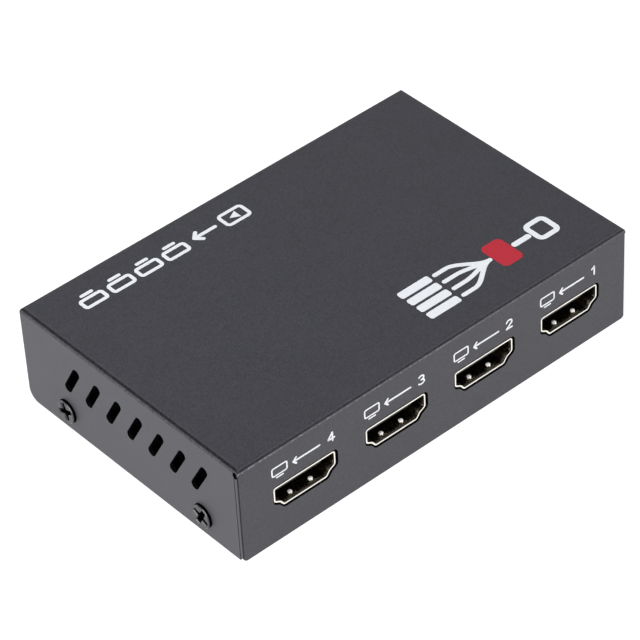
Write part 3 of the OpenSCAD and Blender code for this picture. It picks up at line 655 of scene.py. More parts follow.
class Shade(Nodes):
    """Node tree of one material with one main shader."""

    def __init__(self, name: str, constants: dict[str, float]) -> None:
        """Starts a material.

        Args:
            name: Name of the material.
            constants: Values that are the same all over, by the names of the shader's sockets.
        """
        self.material = bare_material(name)
        super().__init__(self.material.node_tree)
        self.shader = self.add("ShaderNodeBsdfPrincipled")
        for socket, value in constants.items():
            self.shader.inputs[socket].default_value = value
        output = self.add("ShaderNodeOutputMaterial")
        self.feed(self.shader.outputs["BSDF"], output.inputs["Surface"])
        coordinates = self.add("ShaderNodeTexCoord")
        self.place = coordinates.outputs["Object"]
        self.facing = coordinates.outputs["Normal"]

    def noise(self, grain: float, detail: float, pattern: Pattern = Pattern.GRAIN) -> Socket:
        """Smooth noise from 0 to 1.

        Args:
            grain: Size of its grains, in millimetres.
            detail: Number of finer layers.
            pattern: Even grains, or ones that are drawn out into lines.

        Returns:
            The noise's value.
        """
        mapping = self.add("ShaderNodeMapping")
        mapping.inputs["Scale"].default_value = pattern.value
        self.feed(self.place, mapping.inputs["Vector"])
        node = self.add("ShaderNodeTexNoise")
        node.inputs["Scale"].default_value = 1 / (grain * MM)
        node.inputs["Detail"].default_value = detail
        self.feed(mapping.outputs["Vector"], node.inputs["Vector"])
        return node.outputs[0]

    def tint(self, source: Socket, span: Numbers, first: Colour, second: Colour) -> Socket:
        """A value turned into a colour.

        Args:
            source: The value.
            span: Its range, over which one colour goes over into the other.
            first: Colour at the range's low end.
            second: Colour at its high end.

        Returns:
            The colour.
        """
        node = self.add("ShaderNodeValToRGB")
        for element, at, colour in zip(node.color_ramp.elements, span, (first, second)):
            element.position = at
            element.color = (*colour, 1.0)
        self.feed(source, node.inputs["Fac"])
        return node.outputs["Color"]

    def shades(
        self, source: Socket, colour: Colour, low: float, high: float, span: Numbers = MOST
    ) -> Socket:
        """A colour that a value makes lighter or darker.

        Args:
            source: The value.
            colour: The colour.
            low: Factor of the colour at the low end of the value's range.
            high: Factor at the high end.
            span: The value's range.

        Returns:
            The varied colour.
        """
        return self.tint(source, span, times(colour, low), times(colour, high))

    def spread(self, source: Socket, middle: float, low: float, high: float) -> Socket:
        """A number that a noise varies between a low and a high factor of its middle."""
        return self.span(source, MOST, (low * middle, high * middle))

    def relief(
        self, height: Socket, depth: float, strength: float, under: Optional[Socket] = None
    ) -> Socket:
        """A bumpy surface direction.

        Args:
            height: Height of the bumps, from 0 to 1.
            depth: What a height of 1 stands for, in millimetres.
            strength: Share of the bumps that shows.
            under: Surface direction below these bumps.

        Returns:
            The surface direction.
        """
        node = self.add("ShaderNodeBump")
        node.inputs["Strength"].default_value = strength
        node.inputs["Distance"].default_value = depth * MM
        self.feed(height, node.inputs["Height"])
        if under is not None:
            self.feed(under, node.inputs["Normal"])
        return node.outputs["Normal"]

    def band(self, source: Socket, band: Band) -> Socket:
        """A value that rises, stays and falls over the ranges of a band."""
        rise = self.span(source, band.rise, (0, band.most))
        return self.calc("MULTIPLY", rise, self.span(source, band.fall, (1, 0)))

    def gloss(self, share: Socket, first: float, second: float) -> None:
        """Sets the specular level, which goes from a first to a second value with a share."""
        self.feed(self.span(share, UNIT, (first, second)), self.shader.inputs["Specular IOR Level"])


@dataclass(frozen=True)
class Finish:
    """A surface finish.

    Attributes:
        colour: Its mean colour.
    """

    colour: Colour

    def constants(self) -> dict[str, float]:
        """Values that are the same all over, by the names of the shader's sockets."""
        return {}

    def paint(self, shade: Shade) -> Look:
        """Colour, roughness and surface direction of the finish, as nodes."""
        raise NotImplementedError

    def make(self, name: str) -> bpy.types.Material:
        """The finish as a material.

        Args:
            name: Name of the material.

        Returns:
            The material.
        """
        shade = Shade(name, self.constants())
        goals = ("Base Color", "Roughness", "Normal")
        for goal, value in zip(goals, self.paint(shade)):
            shade.feed(value, shade.shader.inputs[goal])
        return shade.material


@dataclass(frozen=True)
class CutZone:
    """A zone of the box where holes show the sheet's cut edges.

    Attributes:
        centre: Middle of the zone, in millimetres.
        half: Half its size along each axis.
        axis: Axis that the sheet looks along, 0 for X and 1 for Y.
    """

    centre: tuple[float, float, float]
    half: tuple[float, float, float]
    axis: int


# Zones whose cut edges get a painted shade.
VENTS = CutZone((0, 0, 13.2), (49, 26.5, 4.9), 0)
OUTPUT_CUTS = CutZone((0, -30.6, 10.3), (44, 0.7, 4.2), 1)
PANEL_CUTS = CutZone((0, 30.3, 11.5), (46, 0.7, 8.5), 1)
RELIEF_HOLES = CutZone((0, -30.3, 20.45), (49, 0.55, 0.8), 0)

# Painted shade and highlight lines along folds, by how far a place looks up, or aside if upright.
SIDE_LINE = Band((0.52, 0.66), (0.89, 0.96), 0.95)
SHOULDER = Band((0.02, 0.06), (0.52, 0.66), 0.5)
FRONT_LINE = Band((0.34, 0.42), (0.68, 0.76), 0.85)
FAR_LINE = Band((0.2, 0.35), (0.93, 0.985), 0.9)
HIGHLIGHT_LINE = Band((0.02, 0.06), (0.28, 0.36), 1.0)
UPRIGHT_LINE = Band((0.2, 0.35), (0.85, 0.93), 0.8)
LEVEL = Band((-0.08, -0.02), (0.02, 0.08), 1.0)


@dataclass(frozen=True)
class PowderCoat(Finish):
    """Fine-textured powder coat on steel, with painted shade on its edges and painted highlight
    specks on folds.

    Attributes:
        grain: Size of the texture's grains, in millimetres.
        blotch: Size of its broad blotches.
        speck: Size of the painted highlight's pale specks, and of what breaks up the folds'
            shoulders.
        shade_noise: Size of what makes the painted shade lines uneven.
        peel: Size of the soft waves under the grains.
        gloss: Specular level.
        dull: Specular level on the painted shade lines and cut edges.
        fade_x: Distance from the middle where the front fold's painted highlight line stops fading.
        cuts: Zones with cut edges.
    """

    grain: float = 0.3
    blotch: float = 9.0
    speck: float = 0.5
    # Painted shade: size of the noise that makes the painted shade lines uneven.
    shade_noise: float = 0.6
    peel: float = 1.6
    gloss: float = 0.42
    dull: float = 0.08
    fade_x: float = 46.0
    cuts: tuple[CutZone, ...] = (VENTS, OUTPUT_CUTS, PANEL_CUTS, RELIEF_HOLES)

    def fold_lines(self, shade: Shade) -> tuple[Socket, Socket]:
        """Shares of the painted shade and the painted highlight lines along the cover's rounded
        folds.

        How far a place looks up says where on a fold it lies: 1 at the fold's upper end and 0 at
        its lower end.  A side fold, which looks to the left or right, has a broad painted shade
        line and a faint painted shade shoulder below it.  The front fold has a fainter painted
        shade line, and below that a painted highlight line, which fades from the left to the right.
        The upright edges between two faces, which look to the side but not up, have a painted shade
        line too, and so have the right fold and the rounded rear edge, up to where they meet the
        top.  Noise makes the painted shade lines uneven, and breaks up the shoulder.

        Args:
            shade: The material's nodes.

        Returns:
            The share of the painted shade line and that of the painted highlight line.
        """
        across, along, up = shade.parts(shade.facing)
        aside = shade.calc("ABSOLUTE", across)
        side = shade.span(aside, (0.05, 0.15), UNIT)
        front = shade.span(side, UNIT, (1, 0))
        broken = shade.span(shade.noise(self.speck, 2.0), (0.35, 0.65), (0.1, 1.0))
        shoulder = shade.calc("MULTIPLY", shade.band(up, SHOULDER), broken)
        on_side = shade.calc("ADD", shade.band(up, SIDE_LINE), shoulder)
        far = shade.span(shade.calc("MAXIMUM", across, along), (0.1, 0.3), UNIT)
        # Painted shade lines on the side folds, the front fold, the upright edges and the far
        # edges.
        shade_share = shade.calc(
            "ADD",
            shade.calc("MULTIPLY", side, on_side),
            shade.calc("MULTIPLY", front, shade.band(up, FRONT_LINE)),
        )
        upright = shade.calc("MULTIPLY", shade.band(aside, UPRIGHT_LINE), shade.band(up, LEVEL))
        far_line = shade.calc("MULTIPLY", far, shade.band(up, FAR_LINE))
        for line in (upright, far_line):
            shade_share = shade.calc("MAXIMUM", shade_share, line)
        uneven = shade.span(shade.noise(self.shade_noise, 2.0), (0.35, 0.6), (0.88, 1.08))
        ends = (-self.fade_x * MM, self.fade_x * MM)
        fade = shade.span(shade.parts(shade.place)[0], ends, (1.0, 0.2))
        # Painted highlight line on the front fold, fading from the left to the right.
        highlight = shade.calc("MULTIPLY", shade.band(up, HIGHLIGHT_LINE), fade)
        return shade.calc("MULTIPLY", shade_share, uneven), shade.calc("MULTIPLY", front, highlight)

    def cut_share(self, shade: Shade) -> Socket:
        """1 on the cut edges in the zones, which get a painted shade.

        Args:
            shade: The material's nodes.

        Returns:
            The share.
        """
        most: Feed = 0.0
        for zone in self.cuts:
            share = shade.calc("COMPARE", shade.parts(shade.facing)[zone.axis], 0.0, 0.5)
            for part, middle, half in zip(shade.parts(shade.place), zone.centre, zone.half):
                inside = shade.calc("COMPARE", part, middle * MM, half * MM)
                share = shade.calc("MULTIPLY", share, inside)
            most = shade.calc("MAXIMUM", most, share)
        return most

    def paint(self, shade: Shade) -> Look:
        """Grains of two sizes vary the colour and lift the surface; folds and holes get painted
        shade lines, the front fold a painted highlight.

        Args:
            shade: The material's nodes.

        Returns:
            Colour, roughness and surface direction.
        """
        fine = shade.noise(self.grain, 2.0)
        coarse = shade.span(shade.noise(self.blotch, 2.0), MOST, (0, 0.1))
        mottle = shade.calc("ADD", shade.span(fine, MOST, (0, 0.9)), coarse)
        face = shade.shades(mottle, self.colour, 0.66, 1.36, UNIT)
        specks = shade.span(shade.noise(self.speck, 1.0), (0.5, 0.62), UNIT)
        # Painted highlight: pale specks in the front fold's highlight line.
        highlight = shade.shades(specks, self.colour, 1.6, 4.4, UNIT)
        # Painted shade colour of the fold and edge lines.
        line_shade = shade.shades(fine, self.colour, 0.16, 0.3)
        # Painted shade colour of the cut edges in the holes.
        cut_shade = shade.shades(fine, self.colour, 0.05, 0.12)
        shade_line, highlight_line = self.fold_lines(shade)
        cut = self.cut_share(shade)
        colour = shade.blend(shade_line, shade.blend(highlight_line, face, highlight), line_shade)
        # The painted shade lines and cut edges also lose most of their gloss.
        shade.gloss(shade.calc("MAXIMUM", shade_line, cut), self.gloss, self.dull)
        peel = shade.relief(shade.noise(self.peel, 1.0), 0.016, 0.25)
        bumps = shade.relief(fine, 0.025, 0.6, peel)
        return shade.blend(cut, colour, cut_shade), shade.span(fine, MOST, (0.44, 0.56)), bumps


@dataclass(frozen=True)
class Plating(Finish):
    """Metal with a thin plate: nickel, gold, zinc, brass or bare aluminium.

    Attributes:
        rough: Mean roughness.
        pattern: Grain or brushed lines.
        metallic: How far the finish is a metal.
        grain: Size of the grains, in millimetres.
        cloud: Size of the haze that varies the colour.
    """

    rough: float
    pattern: Pattern = Pattern.GRAIN
    metallic: float = 1.0
    grain: float = 0.9
    cloud: float = 3.5

    def constants(self) -> dict[str, float]:
        """How far the finish is a metal."""
        return {"Metallic": self.metallic}

    def tone(self, shade: Shade, haze: Socket) -> Socket:
        """The plate's colour, varied a little by a haze."""
        return shade.shades(haze, self.colour, 0.9, 1.06)

    def paint(self, shade: Shade) -> Look:
        """Fine grains or lines vary the colour, the roughness and the surface a little.

        Args:
            shade: The material's nodes.

        Returns:
            Colour, roughness and surface direction.
        """
        fine = shade.noise(self.grain, 3.0, self.pattern)
        colour = self.tone(shade, shade.noise(self.cloud, 2.0))
        return colour, shade.spread(fine, self.rough, 0.75, 1.3), shade.relief(fine, 0.006, 0.3)


@dataclass(frozen=True)
class SocketNickel(Plating):
    """Nickel plate of the sockets, bright on the lips at the panels and darker inside as painted
    shade.

    Attributes:
        inside: Colour of the inside.
        lip_y: Distance from the middle of the box where the lips begin.
        lip_edge: Width of the change from the inside to a lip.
    """
    # inside: Colour of the inside, a painted shade.

    inside: Colour = (0.27, 0.225, 0.17)
    lip_y: float = 30.45
    lip_edge: float = 0.1

    def tone(self, shade: Shade, haze: Socket) -> Socket:
        """The plate's colour; the distance from the box's middle says what is a lip, and the rest
        gets a painted shade.

        Args:
            shade: The material's nodes.
            haze: What varies the colour a little.

        Returns:
            The colour.
        """
        away = shade.calc("ABSOLUTE", shade.parts(shade.place)[1])
        lip = shade.span(away, ((self.lip_y - self.lip_edge) * MM, self.lip_y * MM), UNIT)
        # Painted shade: everything behind the lips, in the gap and inside the socket, gets this
        # darker colour.
        inner = shade.shades(haze, self.inside, 0.9, 1.06)
        return shade.blend(lip, inner, shade.shades(haze, self.colour, 0.92, 1.04))


@dataclass(frozen=True)
class BlackPaint(Finish):
    """Glossy black paint on a screw, with a dull, darker painted shade in the recess and on the
    rim's wall.

    Attributes:
        rough: Mean roughness.
        grain: Size of the grains, in millimetres.
    """

    rough: float
    grain: float = 0.3

    def paint(self, shade: Shade) -> Look:
        """Fine grains vary the paint; the mesh says each place's share of painted shade.

        Args:
            shade: The material's nodes.

        Returns:
            Colour, roughness and surface direction.
        """
        fine = shade.noise(self.grain, 2.0)
        painted_shade = shade.add("ShaderNodeAttribute")
        painted_shade.attribute_name = SHADE_ATTRIBUTE
        depth = painted_shade.outputs["Fac"]
        open_side = shade.shades(fine, self.colour, 0.8, 1.2)
        # Painted shade: near-black colour in the recess, on the rim's wall and on the shank.
        recess = shade.shades(fine, self.colour, 0.01, 0.03)
        shade.gloss(depth, 0.5, 0.0)
        rough = shade.spread(fine, self.rough, 0.8, 1.25)
        return shade.blend(depth, open_side, recess), rough, shade.relief(fine, 0.006, 0.3)


@dataclass(frozen=True)
class Moulding(Finish):
    """Moulded plastic or resin with a fine spark-eroded grain.

    Attributes:
        rough: Mean roughness.
        grain: Size of the grain, in millimetres.
        coat: Weight of a clear layer on top.
        glow: How far light spreads inside it.
        flow: Size of the flow marks.
    """

    rough: float
    grain: float = 0.18
    coat: float = 0.0
    glow: float = 0.0
    flow: float = 2.4

    def constants(self) -> dict[str, float]:
        """The clear layer and the light inside."""
        return {
            "Coat Weight": self.coat,
            "Coat Roughness": 0.08,
            "Subsurface Weight": self.glow,
            "Subsurface Scale": 0.6 * MM,
        }

    def paint(self, shade: Shade) -> Look:
        """Grain lifts the surface; broad flow marks vary the colour and the roughness.

        Args:
            shade: The material's nodes.

        Returns:
            Colour, roughness and surface direction.
        """
        flow = shade.noise(self.flow, 3.0)
        colour = shade.shades(flow, self.colour, 0.82, 1.2)
        bumps = shade.relief(shade.noise(self.grain, 2.0), 0.008, 0.35)
        return colour, shade.spread(flow, self.rough, 0.85, 1.15), bumps


@dataclass(frozen=True)
class SolderMask(Finish):
    """Green lacquer over copper tracks on a glass-fibre board, whose colour is the bare fibre's.

    Attributes:
        track: Colour over copper.
        pitch: Distance between tracks, in millimetres.
        field: Size of the regions with and without tracks.
        grain: Size of what varies the roughness.
    """

    track: Colour
    pitch: float = 1.3
    field: float = 7.0
    grain: float = 0.6
    wave: ClassVar[dict[str, float]] = {"Distortion": 3.0, "Detail": 0.0, "Detail Scale": 0.15}

    def constants(self) -> dict[str, float]:
        """The clear layer."""
        return {"Coat Weight": 0.3, "Coat Roughness": 0.15}

    def paint(self, shade: Shade) -> Look:
        """Bands bent by noise stand for the tracks, lighter and a little raised.

        Args:
            shade: The material's nodes.

        Returns:
            Colour, roughness and surface direction.
        """
        wave = shade.add("ShaderNodeTexWave")
        wave.bands_direction = "X"
        for name, value in {"Scale": 0.314 / (self.pitch * MM), **self.wave}.items():
            wave.inputs[name].default_value = value
        shade.feed(shade.place, wave.inputs["Vector"])
        tracks = shade.span(wave.outputs[1], (0.55, 0.65), UNIT)
        region = shade.span(shade.noise(self.field, 1.0), (0.45, 0.5), UNIT)
        copper = shade.calc("MULTIPLY", tracks, region)
        rough = shade.span(shade.noise(self.grain, 2.0), MOST, (0.28, 0.4))
        colour = shade.tint(copper, UNIT, self.colour, self.track)
        return colour, rough, shade.relief(copper, 0.03, 0.6)


@dataclass(frozen=True)
class Ink(Finish):
    """Screen-printed ink, slightly uneven over the coat's texture.

    Attributes:
        grain: Size of the texture's grains, in millimetres.
    """

    grain: float = 0.34

    def constants(self) -> dict[str, float]:
        """The specular level."""
        return {"Specular IOR Level": 0.35}

    def paint(self, shade: Shade) -> Look:
        """The coat's grain shows through as faint dark pin holes and a soft relief.

        Args:
            shade: The material's nodes.

        Returns:
            Colour, roughness and surface direction.
        """
        grain = shade.noise(self.grain, 2.0)
        holes = shade.span(grain, (0.26, 0.4), UNIT)
        colour = shade.shades(holes, self.colour, 0.8, 1.0, UNIT)
        return colour, shade.span(grain, MOST, (0.45, 0.6)), shade.relief(grain, 0.012, 0.3)


FINISHES: dict[Stock, Finish] = {
    Stock.COATED_STEEL: PowderCoat((0.047, 0.046, 0.054)),
    Stock.BLACK_SCREW: BlackPaint((0.026, 0.025, 0.03), 0.26),
    Stock.BRIGHT_NICKEL: SocketNickel((0.96, 0.915, 0.835), 0.22),
    Stock.BLACK_PLASTIC: Moulding((0.014, 0.014, 0.014), 0.42),
    Stock.GOLD_PLATE: Plating((0.78, 0.56, 0.22), 0.22),
    Stock.BOARD_GREEN: SolderMask((0.004, 0.026, 0.012), (0.006, 0.046, 0.02)),
    Stock.BARE_STEEL: Plating((0.6, 0.59, 0.56), 0.34, Pattern.BRUSHED),
    Stock.CONTACT_BRASS: Plating((0.7, 0.55, 0.25), 0.3, Pattern.BRUSHED),
    Stock.LAMP_RED: Moulding((0.42, 0.03, 0.025), 0.12, 0.6, 0.5, 0.25),
    Stock.LAMP_GREEN: Moulding((0.07, 0.3, 0.11), 0.12, 0.6, 0.5, 0.25),
    Stock.CHIP_BLACK: Moulding((0.018, 0.018, 0.019), 0.55, 0.12),
    Stock.SINK_ALUMINIUM: Plating((0.62, 0.63, 0.64), 0.36, Pattern.BRUSHED),
    Stock.GREY_PAD: Moulding((0.32, 0.35, 0.37), 0.75, 0.4),
    Stock.FERRITE: Moulding((0.05, 0.05, 0.052), 0.6, 0.25),
    Stock.TAN_CERAMIC: Moulding((0.36, 0.26, 0.15), 0.35, 0.2),
    Stock.WHITE_INK: Ink((0.94, 0.95, 0.97)),
    Stock.RED_INK: Ink((0.56, 0.022, 0.04)),
    # Painted highlight: near-white matt caps stand for the glint on the dimples.
    Stock.HIGHLIGHT_WHITE: Plating((0.99, 0.98, 0.96), 0.25, Pattern.GRAIN, 0.0),
}


class Palette:
    """Materials by the names of their finishes, each made once."""

    def __init__(self) -> None:
        """Starts with no material made."""
        self._made: dict[Stock, bpy.types.Material] = {}

    def of(self, stock: Stock) -> bpy.types.Material:
        """The material of a finish."""
        if stock not in self._made:
            self._made[stock] = FINISHES[stock].make(stock.value)
        return self._made[stock]


@dataclass
class SolidParts:
    """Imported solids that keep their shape, with the slot that each is dressed from.

    Attributes:
        nodes: Objects of the solids by name.
        record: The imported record.
    """

    nodes: dict[str, bpy.types.Object]
    record: dict

    def dress(self, palette: Palette) -> None:
        """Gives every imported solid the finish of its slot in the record.

        Args:
            palette: Maker of the materials.
        """
        for row in self.record["subparts"]:
            solid = self.nodes[row["node"]]
            material = palette.of(Stock(row["material_slot"]))
            solid.data.materials.clear()
            solid.data.materials.append(material)
            LOG.info("solid %s: %s", row["node"], material.name)


@dataclass
class Trim:
    """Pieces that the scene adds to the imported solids."""

    smooth_below: ClassVar[float] = 40

    def surfaces(self) -> dict[str, tuple[Patch, Stock]]:
        """Surface and finish of each piece, by the piece's name."""
        raise NotImplementedError

    def build(self, palette: Palette) -> list[bpy.types.Object]:
        """Makes and dresses the pieces.

        Args:
            palette: Maker of the materials.

        Returns:
            The new pieces.
        """
        return [
            make_piece(name, patch, palette.of(stock), self.smooth_below)
            for name, (patch, stock) in self.surfaces().items()
        ]


@dataclass
class TopMarks(Trim):
    """Printed marks on the cover's top, which read from the rear.

    Attributes:
        height: Height of the cover's top.
        strip_at: Place of the long strip's left end.
        strip_h: Height of the strip's marks.
        strip_line: Width of the strip's lines.
        source_w: Width of the strip's source box.
        screen_w: Width of the strip's displays.
        screen_x: Place of the first display's middle along the strip.
        screen_pitch: Distance between the displays.
        fan_at: Place of the fan's left end.
        fan_line: Width of the fan's branches.
        fan_pitch: Distance between the branches.
    """

    height: float
    strip_at: tuple[float, float] = (1.2, 23.7)
    strip_h: float = 4.2
    strip_line: float = 0.74
    source_w: float = 6.2
    screen_w: float = 5.7
    screen_x: float = 17.9
    screen_pitch: float = 6.6
    fan_at: tuple[float, float] = (39.4, -20.0)
    fan_line: float = 0.95
    fan_pitch: float = 2.62

    def _drawing(self, at: tuple[float, float]) -> Drawing:
        """A drawing on the top, its own 0, 0 at a place."""
        return Drawing((*at, self.height), (-1, 0, 0), (0, -1, 0))

    def strip(self) -> Patch:
        """A source box, an arrow and four displays in a row.

        Returns:
            The strip's marks on the top.
        """
        art = self._drawing(self.strip_at)
        line, h = self.strip_line, self.strip_h
        source = (self.source_w - line, h - line)
        art.stroke(rounded_box((self.source_w / 2, 0), source, 0.7), line, True)
        art.wedge(2.3, 4.25, 1.05)
        art.arrow((7.9, 0), (13.0, 0), 0.8, 1.25)
        for k in range(len(NUMERALS)):
            art.screen((self.screen_x + self.screen_pitch * k, 0), (self.screen_w, h), line)
        return art.lay()

    def fan(self) -> Patch:
        """One trunk that fans out into four branches, each to a display.

        Returns:
            The fan's white marks on the top.
        """
        art = self._drawing(self.fan_at)
        art.stroke(rounded_box((2.6, 0), (4.5, 4.7), 1.0), 1.15, True)
        art.stroke(polyline((6.2, 0), (9.6, 0)), 1.3)
        for level in np.array([1.5, 0.5, -0.5, -1.5]) * self.fan_pitch:
            art.stroke(swing((16.0, 0), (23.6, level)), self.fan_line)
            art.stroke(polyline((23.6, level), (26.4, level)), self.fan_line)
            art.fill(rounded_box((31.4, level), (7.6, 1.95), 0.5))
        return art.lay()

    def hub(self) -> Patch:
        """Red hub between the trunk and the branches, as a patch on the top."""
        art = self._drawing(self.fan_at)
        art.fill(rounded_box((12.9, 0), (5.0, 7.4), 1.2))
        return art.lay()

    def surfaces(self) -> dict[str, tuple[Patch, Stock]]:
        """The white and the red marks."""
        white = joined([self.strip(), self.fan()])
        return {
            "top_marks_white": (white, Stock.WHITE_INK),
            "top_marks_red": (self.hub(), Stock.RED_INK),
        }


@dataclass
class PortMarks(Trim):
    """Printed marks over the output sockets: a display, an arrow and the socket's number.

    Attributes:
        face_y: Place of the output face along Y.
        mounts: Places of the sockets' mouths.
        over: Distance from a socket's middle up to that of its marks.
        size: Height of a numeral.
        lift: Distance of a numeral's middle over that of the marks.
    """

    face_y: float
    mounts: dict[str, Points]
    over: float = 5.9
    size: float = 2.3
    lift: float = 0.2

    def surfaces(self) -> dict[str, tuple[Patch, Stock]]:
        """The marks of all four sockets as one piece.

        Returns:
            The marks and their ink.
        """
        marks = []
        for port in NUMERALS:
            x, _, z = self.mounts[f"output_{port}"]
            art = Drawing((x, self.face_y, z + self.over), (1, 0, 0), (0, 0, 1))
            art.screen((-5.5, 0), (3.8, 1.2 * self.size), 0.32)
            art.arrow((3.9, 0), (-2.3, 0), 0.4, 0.7)
            art.numeral(port, (5.75, self.lift - self.size / 2), self.size, 0.36)
            marks.append(art.lay())
        return {"port_marks": (joined(marks), Stock.WHITE_INK)}


@dataclass
class RearMarks(Trim):
    """Printed marks on the rear panel over the jack, the switch, the lamps and the input.

    Attributes:
        face_y: Place of the panel's outer face along Y.
        mounts: Places of the jack's pin and of the input's mouth.
        over_jack: Distance from the jack's middle up to its mark.
        over_switch: Distance from the switch base's middle up to the knob's.
        beside_switch: Distance from the switch's middle to the marks beside it.
        over_lamps: Distance from a lamp's middle up to its mark.
        over_input: Distance from the input's middle up to its mark.
        pole_x: Distance from the middle of the jack's mark to its plus and its minus.
        pole_r: Radius of that mark's rings.
        pole_half: Half the length of its plus and its minus.
        pole_line: Width of its rings.
        lead_line: Width of its leads.
        sign_line: Width of the lines of the switch's signs and of the numbers.
        source_line: Width of the lines of the input's mark.
    """

    face_y: float
    mounts: dict[str, Points]
    over_jack: float = 5.8
    over_switch: float = 0.175
    beside_switch: float = 4.4
    over_lamps: float = 3.2
    over_input: float = 5.9
    pole_x: float = 2.5
    pole_r: float = 0.62
    pole_half: float = 0.3
    pole_line: float = 0.2
    lead_line: float = 0.22
    sign_line: float = 0.28
    source_line: float = 0.34

    def _drawing(self, place: Points, over: float) -> Drawing:
        """A drawing on the rear panel, its own 0, 0 at a height over a place."""
        return Drawing((place[0], self.face_y, place[2] + over), (-1, 0, 0), (0, 0, 1))

    def polarity(self) -> Patch:
        """The usual sign for a plug with its plus in the middle: minus ring, dot and plus.

        Returns:
            The sign on the panel.
        """
        art = self._drawing(self.mounts["dc_jack_pin"], self.over_jack)
        pole, half = self.pole_x, self.pole_half
        rings = (self.pole_r, self.pole_r)
        art.stroke(arc((0, 0), rings, 25, 335), self.lead_line)
        art.fill(ring((0, 0), (0.26, 0.26)))
        art.stroke(polyline((0.2, 0), (1.75, 0)), self.lead_line)
        art.stroke(polyline((-0.75, 0), (-1.75, 0)), self.lead_line)
        for x in (-pole, pole):
            art.stroke(ring((x, 0), rings), self.pole_line, True)
            art.stroke(polyline((x - half, 0), (x + half, 0)), self.pole_line)
        art.stroke(polyline((pole, -half), (pole, half)), self.pole_line)
        return art.lay()

    def switch_signs(self) -> Patch:
        """The usual signs of a switch: a bar on one side and a ring on the other.

        Returns:
            The signs on the panel.
        """
        art = self._drawing(middle_of("switch_base"), self.over_switch)
        x = self.beside_switch
        art.stroke(polyline((-x, -0.7), (-x, 0.7)), self.sign_line)
        art.stroke(ring((x, 0), (0.6, 0.72)), self.sign_line, True)
        return art.lay()

    def lamp_signs(self) -> Patch:
        """A power sign over the first lamp and a number over each of the others.

        Returns:
            The signs on the panel.
        """
        power = self._drawing(middle_of("power_lamp"), self.over_lamps)
        power.stroke(arc((0, 0), (0.68, 0.68), 125, 415), 0.26)
        power.stroke(polyline((0, 0.15), (0, 0.85)), 0.26)
        signs = [power.lay()]
        for port in NUMERALS:
            art = self._drawing(middle_of(f"port_lamp_{port}"), self.over_lamps)
            art.numeral(port, (-0.6, -0.85), 1.7, self.sign_line)
            signs.append(art.lay())
        return joined(signs)

    def source_sign(self) -> Patch:
        """A source box with an arrow beside it, over the input socket.

        Returns:
            The sign on the panel.
        """
        art = self._drawing(self.mounts["input"], self.over_input)
        art.stroke(rounded_box((-3.4, 0), (3.4, 1.7), 0.35), self.source_line, True)
        art.wedge(-3.85, -3.0, 0.45)
        art.arrow((-0.9, 0), (4.4, 0), self.source_line, 0.62)
        return art.lay()

    def surfaces(self) -> dict[str, tuple[Patch, Stock]]:
        """The panel's marks as one piece."""
        marks = [self.polarity(), self.switch_signs(), self.lamp_signs(), self.source_sign()]
        return {"rear_marks": (joined(marks), Stock.WHITE_INK)}


@dataclass
class FingerDimples(Trim):
    """Near-white matt caps of the dimples on the sockets' spring fingers, four to a socket, as a
    painted highlight.

    Attributes:
        mounts: Places of the sockets' mouths.
        reach: Distance from a socket's middle to each finger.
        behind: Distance of a dimple's middle behind the mouth.
        level: Distance from a socket's middle up or down to a cap's foot.
        radius: Radius of a cap's foot.
        rise: Height of a cap.
        around: Points round a cap.
        rows: Rings of points from a cap's top to its foot.
    """

    mounts: dict[str, Points]
    reach: float = 2.45
    behind: float = 1.5
    level: float = 2.11
    radius: float = 0.48
    rise: float = 0.33
    around: int = 32
    rows: int = 8
    smooth_below: ClassVar[float] = 60

    def dimple(self) -> Patch:
        """One cap on its foot, upright.

        The two parameters are the angle round the axis and the lean from it.  The radius is the
        foot's times the sine of the lean, and the height the rise times its cosine.

        Returns:
            The closed surface, with a flat foot.
        """
        slope = np.linspace(0, np.pi / 2, self.rows + 1)[1:]
        lean, turn = np.meshgrid(slope, full_turn(self.around), indexing="ij")
        dome = turned(self.radius * np.sin(lean), turn, self.rise * np.cos(lean))
        return capped(dome, (0, 0, self.rise), (0, 0, 0))

    def surfaces(self) -> dict[str, tuple[Patch, Stock]]:
        """The dimples of all sockets as one piece.

        Returns:
            The dimples and their finish.
        """
        dimple = self.dimple()
        dimples = []
        for name in [f"output_{port}" for port in NUMERALS] + ["input"]:
            mouth = self.mounts[name]
            inward = -math.copysign(self.behind, mouth[1])
            for side in (-1, 1):
                for up in (-1, 1):
                    foot = mouth + [side * self.reach, inward, up * self.level]
                    dimples.append(dimple.placed(foot, np.diag([1, -up, -up])))
        return {"finger_dimples": (joined(dimples), Stock.HIGHLIGHT_WHITE)}


